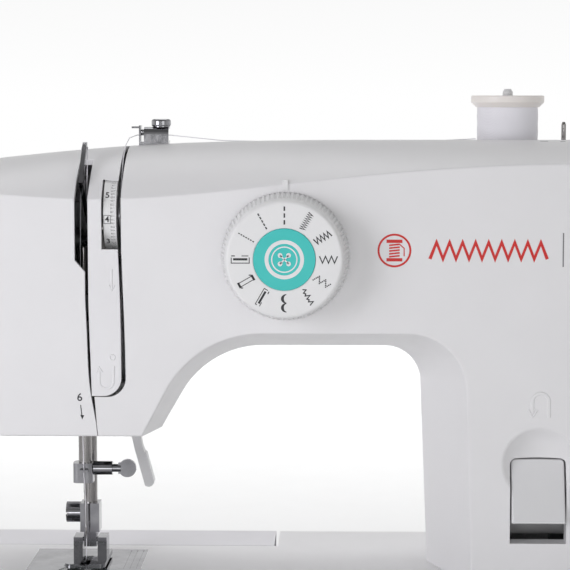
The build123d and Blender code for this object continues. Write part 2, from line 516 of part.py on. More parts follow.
# ---- inner frame ---------------------------------------------------------------------------------
LUGS = ((149.5, 154.5), (200.0, 208.0))             # lower and upper guides of the two bars, Z
PLATE = (36.0, 41.0)                                # Y of the frame's long back plate
BEARINGS = (-90.0, 98.0)                            # X of the main shaft's bearing lugs
TAKEUP_Y, TAKEUP_Z = 20.0, 232.0
frame = box(-134, 114, *PLATE, 202, 250) + box(106, 116, *PLATE, 6, 210)
frame = frame + box(-134, -129, -4, PLATE[1], 150, 250)
frame = frame - box(-140, -120, -10, 12, 210, 260) - box(-60, 80, 30, 45, 214, 238)
for z0, z1 in LUGS:
    frame = frame + box(-129.5, -112.9, -4, 20, z0, z1)
    frame = frame - post(NEEDLE_X, NEEDLE_Y, z0 - 1, z1 + 1, NEEDLE_BAR_R + RUN)
    frame = frame - post(PRESSER_X, PRESSER_Y, z0 - 1, z1 + 1, PRESSER_BAR_R + RUN)
for x in BEARINGS:
    frame = frame + box(x - 5, x + 5, 2, PLATE[0] + 1, 218, 238)
frame = frame - barrel(SHAFT_Y, SHAFT_Z, BEARINGS[0] - 6, BEARINGS[1] + 6, SHAFT_R + RUN)
frame = frame + barrel(TAKEUP_Y, TAKEUP_Z, -130, -122, 6) + box(-134, -129, 12, 40, 210, 250)
frame = frame - barrel(TAKEUP_Y, TAKEUP_Z, -136, -120, 3.0)
lifter_pin = stud(LIFTER_X, LIFTER_Z + 4, 35, 52, 2.5 - RUN) + stud(LIFTER_X, LIFTER_Z + 4, 50.4, 53, 4.5)
lifter_pin = lifter_pin + box(-134, LIFTER_X - 2, 50.4, 53, 152, 160)
lifter_pin = lifter_pin + box(-134, -131, PLATE[1] - 1, 53, 152, 160)
lever_pin = barrel(LEVER_PIVOT_Y, LEVER_PIVOT_Z, 78, 112, 2.5 - RUN)
lever_pin = lever_pin + box(109.4, 112, 6, PLATE[0] + 1, 112, 124)
axle = barrel(TENSION_Y, TENSION_Z, -107.4, -91.6, 2.5) + box(-94, -91.6, TENSION_Y, 6, 240, 254)
axle = axle + box(-94, -91.6, 2, PLATE[0] + 1, 237, 250)
save("arm_frame", frame + lifter_pin + lever_pin + axle)

# ---- needle bar ----------------------------------------------------------------------------------
BAR_TOP = 231.0
CLAMP_Z = (118.0, 127.4)
BAR_END = 126.8          # the bar stops just inside the clamp, on top of the needle
needle_bar = post(NEEDLE_X, NEEDLE_Y, BAR_END, BAR_TOP, NEEDLE_BAR_R)
needle_bar = chamfer(needle_bar.edges().group_by(Axis.Z)[-1], 0.6)
save("needle_bar", needle_bar)
clamp = box(-124.6, -115.0, NEEDLE_Y - 4.6, NEEDLE_Y + 4.6, *CLAMP_Z)
clamp = fillet(clamp.edges().filter_by(Axis.Z), 2.5)
clamp = clamp - post(NEEDLE_X, NEEDLE_Y, BAR_END, 130, NEEDLE_BAR_R) - post(NEEDLE_X, NEEDLE_Y, 110, 130, 1.0)
SCREW_Z = 124.6
clamp = clamp - barrel(NEEDLE_Y, SCREW_Z, NEEDLE_X, -110, 1.75)
guide = box(-121, -117, NEEDLE_Y - 7.4, NEEDLE_Y - 4.4, 123.6, 124.8)
guide = guide - post(NEEDLE_X, NEEDLE_Y - 6, 120, 130, 0.7)
save("needle_clamp", clamp + guide)
clamp_screw = barrel(NEEDLE_Y, SCREW_Z, -115.0, -106.0, 3.3)
clamp_screw = clamp_screw + barrel(NEEDLE_Y, SCREW_Z, NEEDLE_X + 1.6, -115, 1.75)
clamp_screw = clamp_screw + barrel(NEEDLE_Y, SCREW_Z, -106.2, -102.0, 1.9)
paddle = Pos(-98.9, NEEDLE_Y, SCREW_Z) * (stud(0, 0, -1.2, 1.2, 4.25) + box(-4.3, 0, -1.2, 1.2, -2.6, 2.6))
save("needle_clamp_screw", clamp_screw + paddle)
TIP = 90.0
needle = post(NEEDLE_X, NEEDLE_Y, 113, BAR_END, 1.0) + Pos(NEEDLE_X, NEEDLE_Y, 112) * Cone(0.5, 1.0, 2)
needle = needle + post(NEEDLE_X, NEEDLE_Y, TIP + 4, 111, 0.5)
needle = needle + Pos(NEEDLE_X, NEEDLE_Y, TIP + 2) * Cone(0.05, 0.5, 4)
needle = needle - stud(NEEDLE_X, TIP + 6, -5, 8, 0.28)
save("needle", needle)
LINK_Z = 190.0           # where the link takes hold of the bar
LINK_X = (-112.6, -110.2)
CRANK_PIN_Z = SHAFT_Z + 11
link_bar = box(-123.4, LINK_X[0], NEEDLE_Y - 5, NEEDLE_Y + 5, LINK_Z - 6, LINK_Z + 6)
link_bar = link_bar - post(NEEDLE_X, NEEDLE_Y, LINK_Z - 10, LINK_Z + 10, NEEDLE_BAR_R)
link_tilt = degrees(atan2(SHAFT_Y - NEEDLE_Y, CRANK_PIN_Z - LINK_Z))
link = Pos(0, NEEDLE_Y, LINK_Z) * Rot(-link_tilt, 0, 0) * box(*LINK_X, -3, 3, 0, CRANK_PIN_Z - LINK_Z)
link = link + barrel(NEEDLE_Y, LINK_Z, *LINK_X, 5) + barrel(SHAFT_Y, CRANK_PIN_Z, *LINK_X, 5)
save("needle_bar_connector", link + link_bar)

# ---- take-up lever -------------------------------------------------------------------------------
LEVER_PLANE = (-116.9, -114.9)
BEND_R, BLADE = 57.0, 1.6           # the hooked end bends round the lever's own pivot; half its width
ARM_ANGLE, TIP_ANGLE = 33.0, 55.0   # above the horizontal


def lever_point(r, angle, across=0.0):
    """Point in the lever's plane, r from its pivot towards the front, across its own direction."""
    a = radians(angle)
    return (LEVER_PLANE[0], TAKEUP_Y - r * cos(a) - across * sin(a), TAKEUP_Z + r * sin(a) - across * cos(a))


def lever_blade(edges):
    return extrude(Face(Wire(edges)), amount=LEVER_PLANE[1] - LEVER_PLANE[0], dir=(1, 0, 0))


heel, middle_angle, cap = ARM_ANGLE - 2.0, (ARM_ANGLE + TIP_ANGLE) / 2, TIP_ANGLE + 1.6
hooked_end = lever_blade([
    ThreePointArc(lever_point(BEND_R + BLADE, heel), lever_point(BEND_R + BLADE, middle_angle),
                  lever_point(BEND_R + BLADE, TIP_ANGLE)),
    ThreePointArc(lever_point(BEND_R + BLADE, TIP_ANGLE), lever_point(BEND_R, cap),
                  lever_point(BEND_R - BLADE, TIP_ANGLE)),
    ThreePointArc(lever_point(BEND_R - BLADE, TIP_ANGLE), lever_point(BEND_R - BLADE, middle_angle),
                  lever_point(BEND_R - BLADE, heel)),
    Line(lever_point(BEND_R - BLADE, heel), lever_point(BEND_R + BLADE, heel)),
])
arm = lever_blade(Polyline(lever_point(0, ARM_ANGLE, -5), lever_point(BEND_R, ARM_ANGLE, -2.0),
                           lever_point(BEND_R, ARM_ANGLE, 2.0), lever_point(0, ARM_ANGLE, 5), close=True).edges())
EYE = lever_point(BEND_R, TIP_ANGLE - 1.5)[1:]
take_up = barrel(TAKEUP_Y, TAKEUP_Z, *LEVER_PLANE, 7.0) + arm + hooked_end
take_up = take_up - barrel(*EYE, LEVER_PLANE[0] - 1, LEVER_PLANE[1] + 1, 0.8)
take_up = take_up + barrel(TAKEUP_Y, TAKEUP_Z, -133.9, LEVER_PLANE[1], 3.0 - RUN)
save("take_up_lever", take_up)

# ---- presser bar, foot and lifter ----------------------------------------------------------------
PRESSER_TOP = 214.0
FOOT_Z = BED + 1.2
presser_bar = post(PRESSER_X, PRESSER_Y, 96, PRESSER_TOP, PRESSER_BAR_R)
save("presser_bar", presser_bar)
collar = box(-125, -113.2, PRESSER_Y - 5, PRESSER_Y + 6, 168, 177)
collar = collar + box(-121, -105, PRESSER_Y + 5, 34, 168, 172)
collar = collar - post(PRESSER_X, PRESSER_Y, 160, 180, PRESSER_BAR_R)
collar = collar - box(-130, -100, 0, NEEDLE_Y + 5.6, 160, 180)
save("presser_bar_collar", collar)
SPRING_Z = (177.6, 199.4)
helix = Helix(pitch=3.4, height=SPRING_Z[1] - SPRING_Z[0] - 1, radius=4.15)
helix = Pos(PRESSER_X, PRESSER_Y, SPRING_Z[0] + 0.5) * helix
start = helix @ 0
spring = sweep(Plane(origin=start, z_dir=helix % 0) * Circle(0.42), path=helix, is_frenet=True)
save("presser_spring", spring)
FOOT_PIN = (PRESSER_Y + 1, 87.4)     # Y and Z of the cross pin that carries the foot
ankle = box(-122.6, -113.4, PRESSER_Y - 4.8, PRESSER_Y + 5.2, 92, 106)
ankle = ankle - post(PRESSER_X, PRESSER_Y, 96, 110, PRESSER_BAR_R)
ankle = ankle + box(-121, -115, PRESSER_Y - 3.2, PRESSER_Y + 5, 84.6, 92) - barrel(*FOOT_PIN, -130, -110, 1.1)
save("presser_foot_ankle", ankle)
ankle_screw = barrel(PRESSER_Y, 101, -129.5, -122.6, 5.0)
ankle_screw = ankle_screw - box(-130, -128, PRESSER_Y - 6, PRESSER_Y + 6, 100.5, 101.5)
save("ankle_screw", ankle_screw)
sole = box(-127.5, -108.5, -13, 20, FOOT_Z, FOOT_Z + 2.0)
sole = fillet([e for e in sole.edges().filter_by(Axis.Z) if e.center().Y < 0], 3)
toe_gap = box(NEEDLE_X - 3.2, NEEDLE_X + 3.2, -14, NEEDLE_Y + 2.4, BED, 90)
foot = sole - toe_gap
for ear_x in (-126, -114.4):
    foot = foot + box(ear_x, ear_x + 4.4, PRESSER_Y - 4, PRESSER_Y + 7, FOOT_Z, 89.2)
foot = foot + box(NEEDLE_X - 3.2, NEEDLE_X - 1.2, -13, NEEDLE_Y + 4, FOOT_Z + 0.6, FOOT_Z + 2.0)
foot = foot + barrel(*FOOT_PIN, -126, -110, 1.05)
save("presser_foot", foot)

lifter_hub = stud(LIFTER_X, LIFTER_Z + 4, 35.5, 50, 5.0)
lifter = lifter_hub + slab([
    Line((-107.2, 0, 158), (-98.8, 0, 158)),
    Line((-98.8, 0, 158), (-96.4, 0, 134)),
    ThreePointArc((-96.4, 0, 134), (-95.9, 0, 129.6), (-94.6, 0, 125.2)),
    Line((-94.6, 0, 125.2), (-93.6, 0, 124.6)),
    Line((-93.6, 0, 124.6), (-89.8, 0, 110.4)),
    ThreePointArc((-89.8, 0, 110.4), (-91.6, 0, 107.9), (-94.4, 0, 108.4)),
    Line((-94.4, 0, 108.4), (-99.4, 0, 126.6)),
    ThreePointArc((-99.4, 0, 126.6), (-101.6, 0, 136), (-104.8, 0, 148)),
    Line((-104.8, 0, 148), (-107.2, 0, 158)),
], 41.5, 48)
lifter = lifter - stud(LIFTER_X, LIFTER_Z + 4, 30, 52, 2.5)
save("presser_foot_lifter", lifter)

# ---- tension unit --------------------------------------------------------------------------------
wheel_x = (-105.4, -99.6)
tension_dial = barrel(TENSION_Y, TENSION_Z, *wheel_x, TENSION_R)
NOTCHES = 66
hub = Pos(-101.2, TENSION_Y, TENSION_Z)
notches = [hub * Rot(360 * i / NOTCHES, 0, 0) * Pos(0, TENSION_R, 0) * Box(1.9, 1.7, 0.85)
           for i in range(NOTCHES)]
tension_dial = tension_dial - notches - barrel(TENSION_Y, TENSION_Z, -110, -90, 2.5 + RUN)
save("tension_dial", tension_dial)


def tension_disc(x):
    return barrel(TENSION_Y, TENSION_Z, x, x + 0.5, 11.0) - barrel(TENSION_Y, TENSION_Z, x - 1, x + 1, 2.5)


save("tension_discs", Compound(children=[tension_disc(-99.2), tension_disc(-97.9)]))

# ---- stitch selector -----------------------------------------------------------------------------
DIAL_R, DIAL_FACE_R = 29.2, 26.2
GRIP_GROOVES, GROOVE_R = 80, 0.8
DIAL_DEPTH = (FRONT - 20.0, FRONT - 0.5)
dial_height = DIAL_DEPTH[1] - DIAL_DEPTH[0]
dial = Cone(DIAL_R, DIAL_FACE_R, dial_height)
dial = fillet(dial.edges().sort_by(Axis.Z)[-1], 1.6)
taper = degrees(atan2(DIAL_R - DIAL_FACE_R, dial_height))
groove = Rot(0, -taper, 0) * Pos(0, 0, -3.5) * Cylinder(GROOVE_R, 15)
groove = Pos((DIAL_R + DIAL_FACE_R) / 2 + 0.25, 0, 0) * groove
dial = ring_cut(dial, groove, GRIP_GROOVES)
dial = dial - Pos(0, 0, dial_height / 2) * Cylinder(14.1, 1.0)
dial = dial + Pos(0, 0, -dial_height / 2 - 7) * Cylinder(4.2, 14.5)
dial_place = Pos(DIAL_X, (DIAL_DEPTH[0] + DIAL_DEPTH[1]) / 2, DIAL_Z) * Rot(90, 0, 0)
save("stitch_dial", dial_place * dial)
disc = Pos(0, 0, dial_height / 2 - 0.1) * Cylinder(13.85, 0.8)
disc = fillet(disc.edges().sort_by(Axis.Z)[-1], 0.3)
save("dial_centre_disc", dial_place * disc)

# ---- reverse lever -------------------------------------------------------------------------------
TAB_FOOT = 107.0
tab_slope = extrude(Face(Wire(Polyline((60, -28.2, LEVER_TOP), (60, -38.2, TAB_FOOT), (60, -13, TAB_FOOT),
                                       (60, -13, LEVER_TOP), close=True).edges())), amount=60, dir=(1, 0, 0))
tab = lever_outline(0.0, -40, -13, TAB_FOOT) & tab_slope
tab = fillet([e for e in tab.edges() if e.center().Y < -27.5 and e.length > 20], 0.8)
skirt = barrel(LEVER_PIVOT_Y, LEVER_PIVOT_Z, LEVER_X[0] - 3, LEVER_X[1] + 3, 28.9)
skirt = skirt - barrel(LEVER_PIVOT_Y, LEVER_PIVOT_Z, 60, 120, 26.9)
skirt = skirt & box(60, 120, -20, -6.5, 85, 150)
arms = [box(x, x + 3, -16, LEVER_PIVOT_Y, LEVER_PIVOT_Z - 4, LEVER_PIVOT_Z + 4) +
        barrel(LEVER_PIVOT_Y, LEVER_PIVOT_Z, x, x + 3, 6) for x in (LEVER_X[0] + 1, LEVER_X[1] - 4)]
reverse_lever = tab + skirt + arms - barrel(LEVER_PIVOT_Y, LEVER_PIVOT_Z, 60, 120, 2.5)
save("reverse_lever", reverse_lever)

# ---- bobbin winder -------------------------------------------------------------------------------
carriage = box(WINDER_X - 8, WINDER_X + 8, 43, 55, 256, 262) - post(WINDER_X, WINDER_Y, 250, 270, 1.15 + RUN)
spindle = post(WINDER_X, WINDER_Y, 248, 287.6, 1.15) + Pos(WINDER_X, WINDER_Y, 288.2) * Cone(1.15, 0.7, 1.4)
spindle = spindle + post(WINDER_X, WINDER_Y, 262.4, 264.4, 3.4) + post(WINDER_X, WINDER_Y, 248, 255.6, 4.6)
save("bobbin_winder_carriage", carriage)
save("bobbin_winder_spindle", spindle)
winder_stop = post(132, 46, 262, 279, 5.5) - rear_solid
save("bobbin_winder_stop", winder_stop)

# ---- spool, spool pin and thread guides ----------------------------------------------------------
SPOOL_TOP = 305.0
SPOOL_FLOOR = SEAT_Z + 1.0
pin = post(SPOOL_X, SPOOL_Y, 262, SPOOL_TOP - 1.5, 2.45)
pin = pin + Pos(SPOOL_X, SPOOL_Y, SPOOL_TOP - 0.75) * Cone(2.45, 1.6, 1.5)
save("spool_pin", pin)
felt = post(SPOOL_X, SPOOL_Y, SEAT_Z, SPOOL_FLOOR - 0.3, 13.5) - post(SPOOL_X, SPOOL_Y, 260, 280, 2.45)
save("spool_felt", felt)
CORE_R, THREAD_R, RIM_R = 8.0, 14.8, 17.65
spool = post(SPOOL_X, SPOOL_Y, SPOOL_FLOOR, SPOOL_FLOOR + 2.2, RIM_R - 1.4)
spool = spool + post(SPOOL_X, SPOOL_Y, SPOOL_FLOOR, 300, CORE_R)
spool = spool + Pos(SPOOL_X, SPOOL_Y, 297.35) * Cone(15.3, RIM_R, 2.3)
spool_rim = post(SPOOL_X, SPOOL_Y, 298.5, 301.8, RIM_R)
spool = spool + fillet(spool_rim.edges().group_by(Axis.Z)[-1], 0.7) - post(SPOOL_X, SPOOL_Y, 270, 310, 3.0)
save("thread_spool", spool)
save("spool_thread", post(SPOOL_X, SPOOL_Y, SPOOL_FLOOR + 2.2, 296.2, THREAD_R)
     - post(SPOOL_X, SPOOL_Y, 270, 300, CORE_R))

BRACKET_TOP = 286.8
SHEET = 0.9                          # bent steel strip
THREAD_LINE = (16.6, 283.0)          # Y and Z of the thread in the guide
channel = box(-91.3, -79.5, GUIDE_Y - 5, GUIDE_Y + 5, 272, BRACKET_TOP)
channel = fillet(channel.edges().filter_by(Axis.X).group_by(Axis.Y)[0].sort_by(Axis.Z)[-1], 3.4)
hollow = box(-92, -79, GUIDE_Y - 5 + SHEET, GUIDE_Y + 6, 280.3, BRACKET_TOP - SHEET)
channel = channel - fillet(hollow.edges().filter_by(Axis.X).group_by(Axis.Y)[0].sort_by(Axis.Z)[-1], 2.5)
tab_left = box(-93.6, -93.6 + SHEET, GUIDE_Y - 5, GUIDE_Y + 2, 272, 287.6)
tab_left = tab_left + box(-93.6, -91, GUIDE_Y - 5, GUIDE_Y + 5, 272, 279.8)
bracket = channel + tab_left - front_solid - rear_solid
bracket = bracket + barrel(GUIDE_Y - 4.2, 286.7, -97.1, -93.4, 0.45)
bracket = bracket + Pos(-91.9, GUIDE_Y - 3.6, 284.4) * Sphere(1.4)
bracket = bracket - post(GUIDE_X, GUIDE_Y, 270, 290, 1.25) - barrel(*THREAD_LINE, -96, -90, 0.6)
save("thread_guide_bracket", bracket)
DISC_TOP = BRACKET_TOP + 0.4
guide_disc = post(GUIDE_X, GUIDE_Y, BRACKET_TOP, DISC_TOP, 4.2) - post(GUIDE_X, GUIDE_Y, 280, 290, 1.25)
save("pretension_disc", guide_disc)
thumb_nut = post(GUIDE_X, GUIDE_Y, DISC_TOP, 290.6, 4.65)
thumb_nut = fillet(thumb_nut.edges().group_by(Axis.Z)[-1], 1.2)
thumb_nut = fillet(thumb_nut.edges().group_by(Axis.Z)[0], 0.6)
save("guide_screw", thumb_nut + post(GUIDE_X, GUIDE_Y, 277.2, DISC_TOP + 0.2, 1.2))

# ---- lamp, thread cutter, inlet and switch -------------------------------------------------------
save("lamp", box(-160, -138, 22, 34, 149.4, 156) + box(-157, -141, 24, 32, 146.6, 149.4))
cutter = box(-186.0, -178.2, 6, 18, 176, 190) - box(-190, -180.4, 9, 15, 180, 192)
save("thread_cutter", cutter - front_solid - rear_solid)
inlet = box(148, 157.6, INLET_Y - 13.8, INLET_Y + 13.8, INLET_Z - 10.8, INLET_Z + 10.8)
inlet = inlet - box(150.5, 160, INLET_Y - 11.5, INLET_Y + 11.5, INLET_Z - 8, INLET_Z + 8)
power_panel = inlet + [box(150, 156.6, INLET_Y + y - 1, INLET_Y + y + 1, INLET_Z - 3, INLET_Z + 3)
                       for y in (-7, 0, 7)]
bezel = box(150, 158.9, SWITCH_Y - 10.4, SWITCH_Y + 10.4, INLET_Z - 7.4, INLET_Z + 7.4)
bezel = bezel - box(148, 160, SWITCH_Y - 8.4, SWITCH_Y + 8.4, INLET_Z - 5.4, INLET_Z + 5.4)
bezel = bezel - [Pos(154, SWITCH_Y, INLET_Z) * Cylinder(1.0 + RUN, 20)]
bridge_piece = box(148, 155, INLET_Y + 13.8, SWITCH_Y - 10.4, INLET_Z - 7, INLET_Z + 7)
save("power_panel", power_panel + bezel + bridge_piece)
rocker = box(152.4, 160.0, -7.4, 7.4, -5.0, 5.0) - Pos(165.5, 0, 0) * Cylinder(6.5, 20)
rocker = rocker + Pos(154, 0, 0) * Cylinder(1.0, 13.6)
save("power_switch", Pos(0, SWITCH_Y, INLET_Z) * rocker)

# ---- upper thread, whole, from the spool to the needle -------------------------------------------
THREAD = 0.2
SLOT_THREAD_X, DEEP_Y = -98.3, -24.0
route = [
    (68.4, 40.0, 280.8), (20.0, 36.0, 278.6), (-54.0, 24.0, 280.2), (-79.0, *THREAD_LINE), (-94.6, *THREAD_LINE),
    (-97.4, 8.0, 281.8), (SLOT_THREAD_X, 0.0, 278.6), (SLOT_THREAD_X, -12.0, 272.4), (SLOT_THREAD_X, -21.0, 262.0),
    (SLOT_THREAD_X, DEEP_Y, 250.0), (SLOT_THREAD_X, DEEP_Y, 184.0), (-101.0, DEEP_Y, 172.6),
    (-106.4, DEEP_Y, 169.0), (-111.4, DEEP_Y, 173.0), (-113.2, DEEP_Y, 186.0), (-113.4, DEEP_Y, 226.0),
    (-114.3, -20.0, 262.0), (-114.5, *EYE), (-117.3, *EYE), (-117.4, -18.0, 264.0), (-117.4, -22.0, 232.0),
    (-118.0, -16.0, 180.0), (-118.9, -9.0, 152.0), (-119.0, -6.6, 140.0), (-119.0, -4.0, 126.0),
    (-119.0, -4.0, 122.0), (-119.0, -1.4, 97.2), (-119.0, -0.9, 96.0), (-119.0, 3.0, 96.0), (-119.0, 3.6, 92.0),
    (-119.2, 3.8, 80.5), (-119.6, 3.8, 78.6), (-122.0, 7.0, 78.5), (-123.4, 24.0, 78.5), (-127.0, 62.0, 78.4),
]
SIDES = 8                # the thread is drawn as a fine eight-sided cord, mitred at its bends


def mitred_cord(points, radius, sides):
    """Closed body of flat faces: a ring at each bend, on the plane that halves the bend."""
    points = [Vector(*p) for p in points]
    runs = [(q - p).normalized() for p, q in zip(points, points[1:])]
    start = Plane(origin=points[0], z_dir=runs[0])
    ring = [start.from_local_coords((radius * cos(2 * pi * k / sides), radius * sin(2 * pi * k / sides), 0))
            for k in range(sides)]
    faces = [Face(Wire(Polyline(*ring, close=True).edges()))]
    for i, run in enumerate(runs):
        middle = (run + runs[min(i + 1, len(runs) - 1)]).normalized()
        after = [p + run * ((points[i + 1] - p).dot(middle) / run.dot(middle)) for p in ring]
        for k in range(sides):
            n = (k + 1) % sides
            faces.append(Face(Wire(Polyline(ring[k], ring[n], after[n], after[k], close=True).edges())))
        ring = after
    faces.append(Face(Wire(Polyline(*ring, close=True).edges())))
    return Solid(Shell(faces))


save("upper_thread", mitred_cord(route, THREAD, SIDES))
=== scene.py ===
import math

import bmesh
import bpy
from mathutils import Matrix, Vector


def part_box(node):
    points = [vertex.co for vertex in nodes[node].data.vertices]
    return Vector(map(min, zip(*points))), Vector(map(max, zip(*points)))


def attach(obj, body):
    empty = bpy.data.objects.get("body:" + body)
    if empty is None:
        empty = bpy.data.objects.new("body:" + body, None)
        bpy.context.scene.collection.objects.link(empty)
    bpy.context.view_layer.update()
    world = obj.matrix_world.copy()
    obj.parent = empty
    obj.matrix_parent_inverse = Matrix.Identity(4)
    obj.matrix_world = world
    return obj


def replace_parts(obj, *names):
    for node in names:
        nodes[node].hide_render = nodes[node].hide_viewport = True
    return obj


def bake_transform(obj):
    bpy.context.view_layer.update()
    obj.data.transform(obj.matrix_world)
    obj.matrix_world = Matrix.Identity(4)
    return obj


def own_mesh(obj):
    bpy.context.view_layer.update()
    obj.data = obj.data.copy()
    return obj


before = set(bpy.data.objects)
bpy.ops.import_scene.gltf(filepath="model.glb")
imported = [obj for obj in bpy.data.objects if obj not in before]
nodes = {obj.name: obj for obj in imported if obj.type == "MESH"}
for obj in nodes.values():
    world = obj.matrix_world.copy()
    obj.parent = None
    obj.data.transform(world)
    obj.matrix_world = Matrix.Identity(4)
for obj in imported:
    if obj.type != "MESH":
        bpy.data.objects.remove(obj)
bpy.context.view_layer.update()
MM = 0.001


# ---- node helpers --------------------------------------------------------------------------------
def new_material(name):
    m = bpy.data.materials.new(name)
    m.use_nodes = True
    m.node_tree.nodes.clear()
    out = m.node_tree.nodes.new("ShaderNodeOutputMaterial")
    shader = m.node_tree.nodes.new("ShaderNodeBsdfPrincipled")
    m.node_tree.links.new(shader.outputs["BSDF"], out.inputs["Surface"])
    return m, m.node_tree, shader


def add(tree, kind, **values):
    """New node; a value is one of its inputs, with _ for a space in its name, or else a setting."""
    n = tree.nodes.new(kind)
    for key, v in values.items():
        socket = key.replace("_", " ")
        if socket in n.inputs:
            n.inputs[socket].default_value = v
        else:
            setattr(n, key, v)
    return n


def noise(tree, scale, detail=3.0, rough=0.55, stretch=(1, 1, 1)):
    where = add(tree, "ShaderNodeTexCoord")
    turn = add(tree, "ShaderNodeMapping", Scale=stretch)
    n = add(tree, "ShaderNodeTexNoise", Scale=scale, Detail=detail, Roughness=rough)
    tree.links.new(where.outputs["Object"], turn.inputs["Vector"])
    tree.links.new(turn.outputs["Vector"], n.inputs["Vector"])
    return n.outputs["Fac"]


def map_range(tree, value, start, end, low, high):
    r = add(tree, "ShaderNodeMapRange", From_Min=start, From_Max=end, To_Min=low, To_Max=high)
    tree.links.new(value, r.inputs["Value"])
    return r


def spread(tree, fac, low, high):
    """Spreads a noise, which seldom leaves 0.3 to 0.7, over low to high."""
    return map_range(tree, fac, 0.3, 0.7, low, high).outputs["Result"]


def two_colours(tree, fac, a, b):
    mix = tree.nodes.new("ShaderNodeMix")
    mix.data_type = "RGBA"
    mix.inputs[6].default_value = (*a, 1)
    mix.inputs[7].default_value = (*b, 1)
    tree.links.new(fac, mix.inputs[0])
    return mix.outputs[2]


def bump(tree, height, strength, distance, shader):
    b = add(tree, "ShaderNodeBump", Strength=strength, Distance=distance)
    tree.links.new(height, b.inputs["Height"])
    tree.links.new(b.outputs["Normal"], shader.inputs["Normal"])


def surface(name, colour, shade, rough, metallic=0.0, grain=2200.0, relief=0.25, depth=0.00002,
            patch=30.0, stretch=(1, 1, 1), **sockets):
    """Material whose colour, roughness and relief all vary: shade is the darker end of its colour.

    rough is the range of its roughness. grain and patch are the scales of its relief and its colour.
    """
    m, tree, shader = new_material(name)
    patches = spread(tree, noise(tree, patch, 4.0), 0.0, 1.0)
    wear = spread(tree, noise(tree, patch * 3, 5.0, 0.6, stretch), *rough)
    tree.links.new(two_colours(tree, patches, colour, shade), shader.inputs["Base Color"])
    tree.links.new(wear, shader.inputs["Roughness"])
    bump(tree, noise(tree, grain, 2.0, 0.5, stretch), relief, depth, shader)
    shader.inputs["Metallic"].default_value = metallic
    for key, v in sockets.items():
        shader.inputs[key.replace("_", " ")].default_value = v
    return m


# ---- materials -----------------------------------------------------------------------------------
shell = surface("shell_plastic", (0.80, 0.795, 0.805), (0.78, 0.775125, 0.784875), (0.34, 0.42),
                grain=3200, relief=0.22)
tongue_mat = surface("tongue_plastic", (0.79, 0.785, 0.80), (0.77, 0.765, 0.78), (0.30, 0.38),
                     grain=3000, relief=0.2)
tray_mat = surface("tray_plastic", (0.79, 0.78, 0.81), (0.765, 0.755, 0.785), (0.42, 0.5),
                   grain=2600, relief=0.35)
dial_mat = surface("dial_plastic", (0.80, 0.80, 0.80), (0.78, 0.78, 0.785), (0.3, 0.38),
                   grain=3000, relief=0.2)
teal_mat = surface("teal_inlay", (0.062, 0.585, 0.545), (0.058, 0.56, 0.525), (0.3, 0.38),
                   grain=2500, relief=0.12, Specular_IOR_Level=0.25)
grey_mat = surface("grey_plastic", (0.53, 0.52, 0.56), (0.50, 0.49, 0.53), (0.36, 0.46),
                   grain=2600, relief=0.3)
white_mat = surface("lever_plastic", (0.74, 0.74, 0.75), (0.72, 0.72, 0.73), (0.33, 0.42),
                    grain=2600, relief=0.25)
dark_mat = surface("black_plastic", (0.018, 0.018, 0.02), (0.012, 0.012, 0.013), (0.35, 0.5),
                   grain=2200, relief=0.4)
cream_mat = surface("spool_plastic", (0.89, 0.845, 0.81), (0.86, 0.815, 0.78), (0.32, 0.42),
                    grain=2200, relief=0.2, Subsurface_Weight=0.08,
                    Subsurface_Radius=(0.004, 0.003, 0.002))
# Chrome: its colour is set dark, a painted dark reflection of the studio round it; its patches vary at
# random.
chrome_dark_reflection_mat = surface("chrome_plate", (0.37, 0.37, 0.385), (0.27, 0.27, 0.285), (0.05, 0.14), 1.0,
                     grain=900, relief=0.1, patch=120)
steel_mat = surface("ground_steel", (0.36, 0.35, 0.34), (0.27, 0.26, 0.26), (0.14, 0.26), 1.0,
                    grain=1500, relief=0.3, patch=90, stretch=(1, 1, 12))
cast_mat = surface("cast_aluminium", (0.42, 0.43, 0.44), (0.3, 0.31, 0.32), (0.5, 0.68), 1.0,
                   grain=700, relief=0.6, depth=0.0001)
rubber_mat = surface("black_rubber", (0.022, 0.022, 0.022), (0.012, 0.012, 0.012), (0.6, 0.78),
                     grain=1500, relief=0.5)
motor_mat = surface("motor_paint", (0.03, 0.03, 0.033), (0.018, 0.018, 0.02), (0.4, 0.55),
                    grain=1200, relief=0.4)
felt_mat = surface("felt", (0.62, 0.6, 0.57), (0.45, 0.43, 0.41), (0.85, 0.98),
                   grain=1100, relief=1.0, depth=0.0003, patch=400, Sheen_Weight=0.5)
ink_mat = surface("black_ink", (0.016, 0.016, 0.02), (0.028, 0.028, 0.032), (0.42, 0.55),
                  grain=3000, relief=0.1)
grey_ink_mat = surface("grey_ink", (0.16, 0.155, 0.165), (0.21, 0.205, 0.215), (0.42, 0.55),
                       grain=3000, relief=0.1)
red_ink_mat = surface("red_ink", (0.66, 0.008, 0.006), (0.58, 0.012, 0.008), (0.38, 0.5),
                      grain=3000, relief=0.1)
white_ink_mat = surface("white_ink", (0.82, 0.80, 0.81), (0.78, 0.77, 0.78), (0.3, 0.4),
                        grain=3000, relief=0.1)

clear_mat, tree, shader = new_material("clear_plastic")
shader.inputs["Transmission Weight"].default_value = 0.92
shader.inputs["IOR"].default_value = 1.49
tree.links.new(two_colours(tree, noise(tree, 60, 3), (0.90, 0.94, 0.95), (0.84, 0.89, 0.91)),
               shader.inputs["Base Color"])
tree.links.new(spread(tree, noise(tree, 160, 4), 0.08, 0.2), shader.inputs["Roughness"])
bump(tree, noise(tree, 900, 2), 0.15, 0.00003, shader)
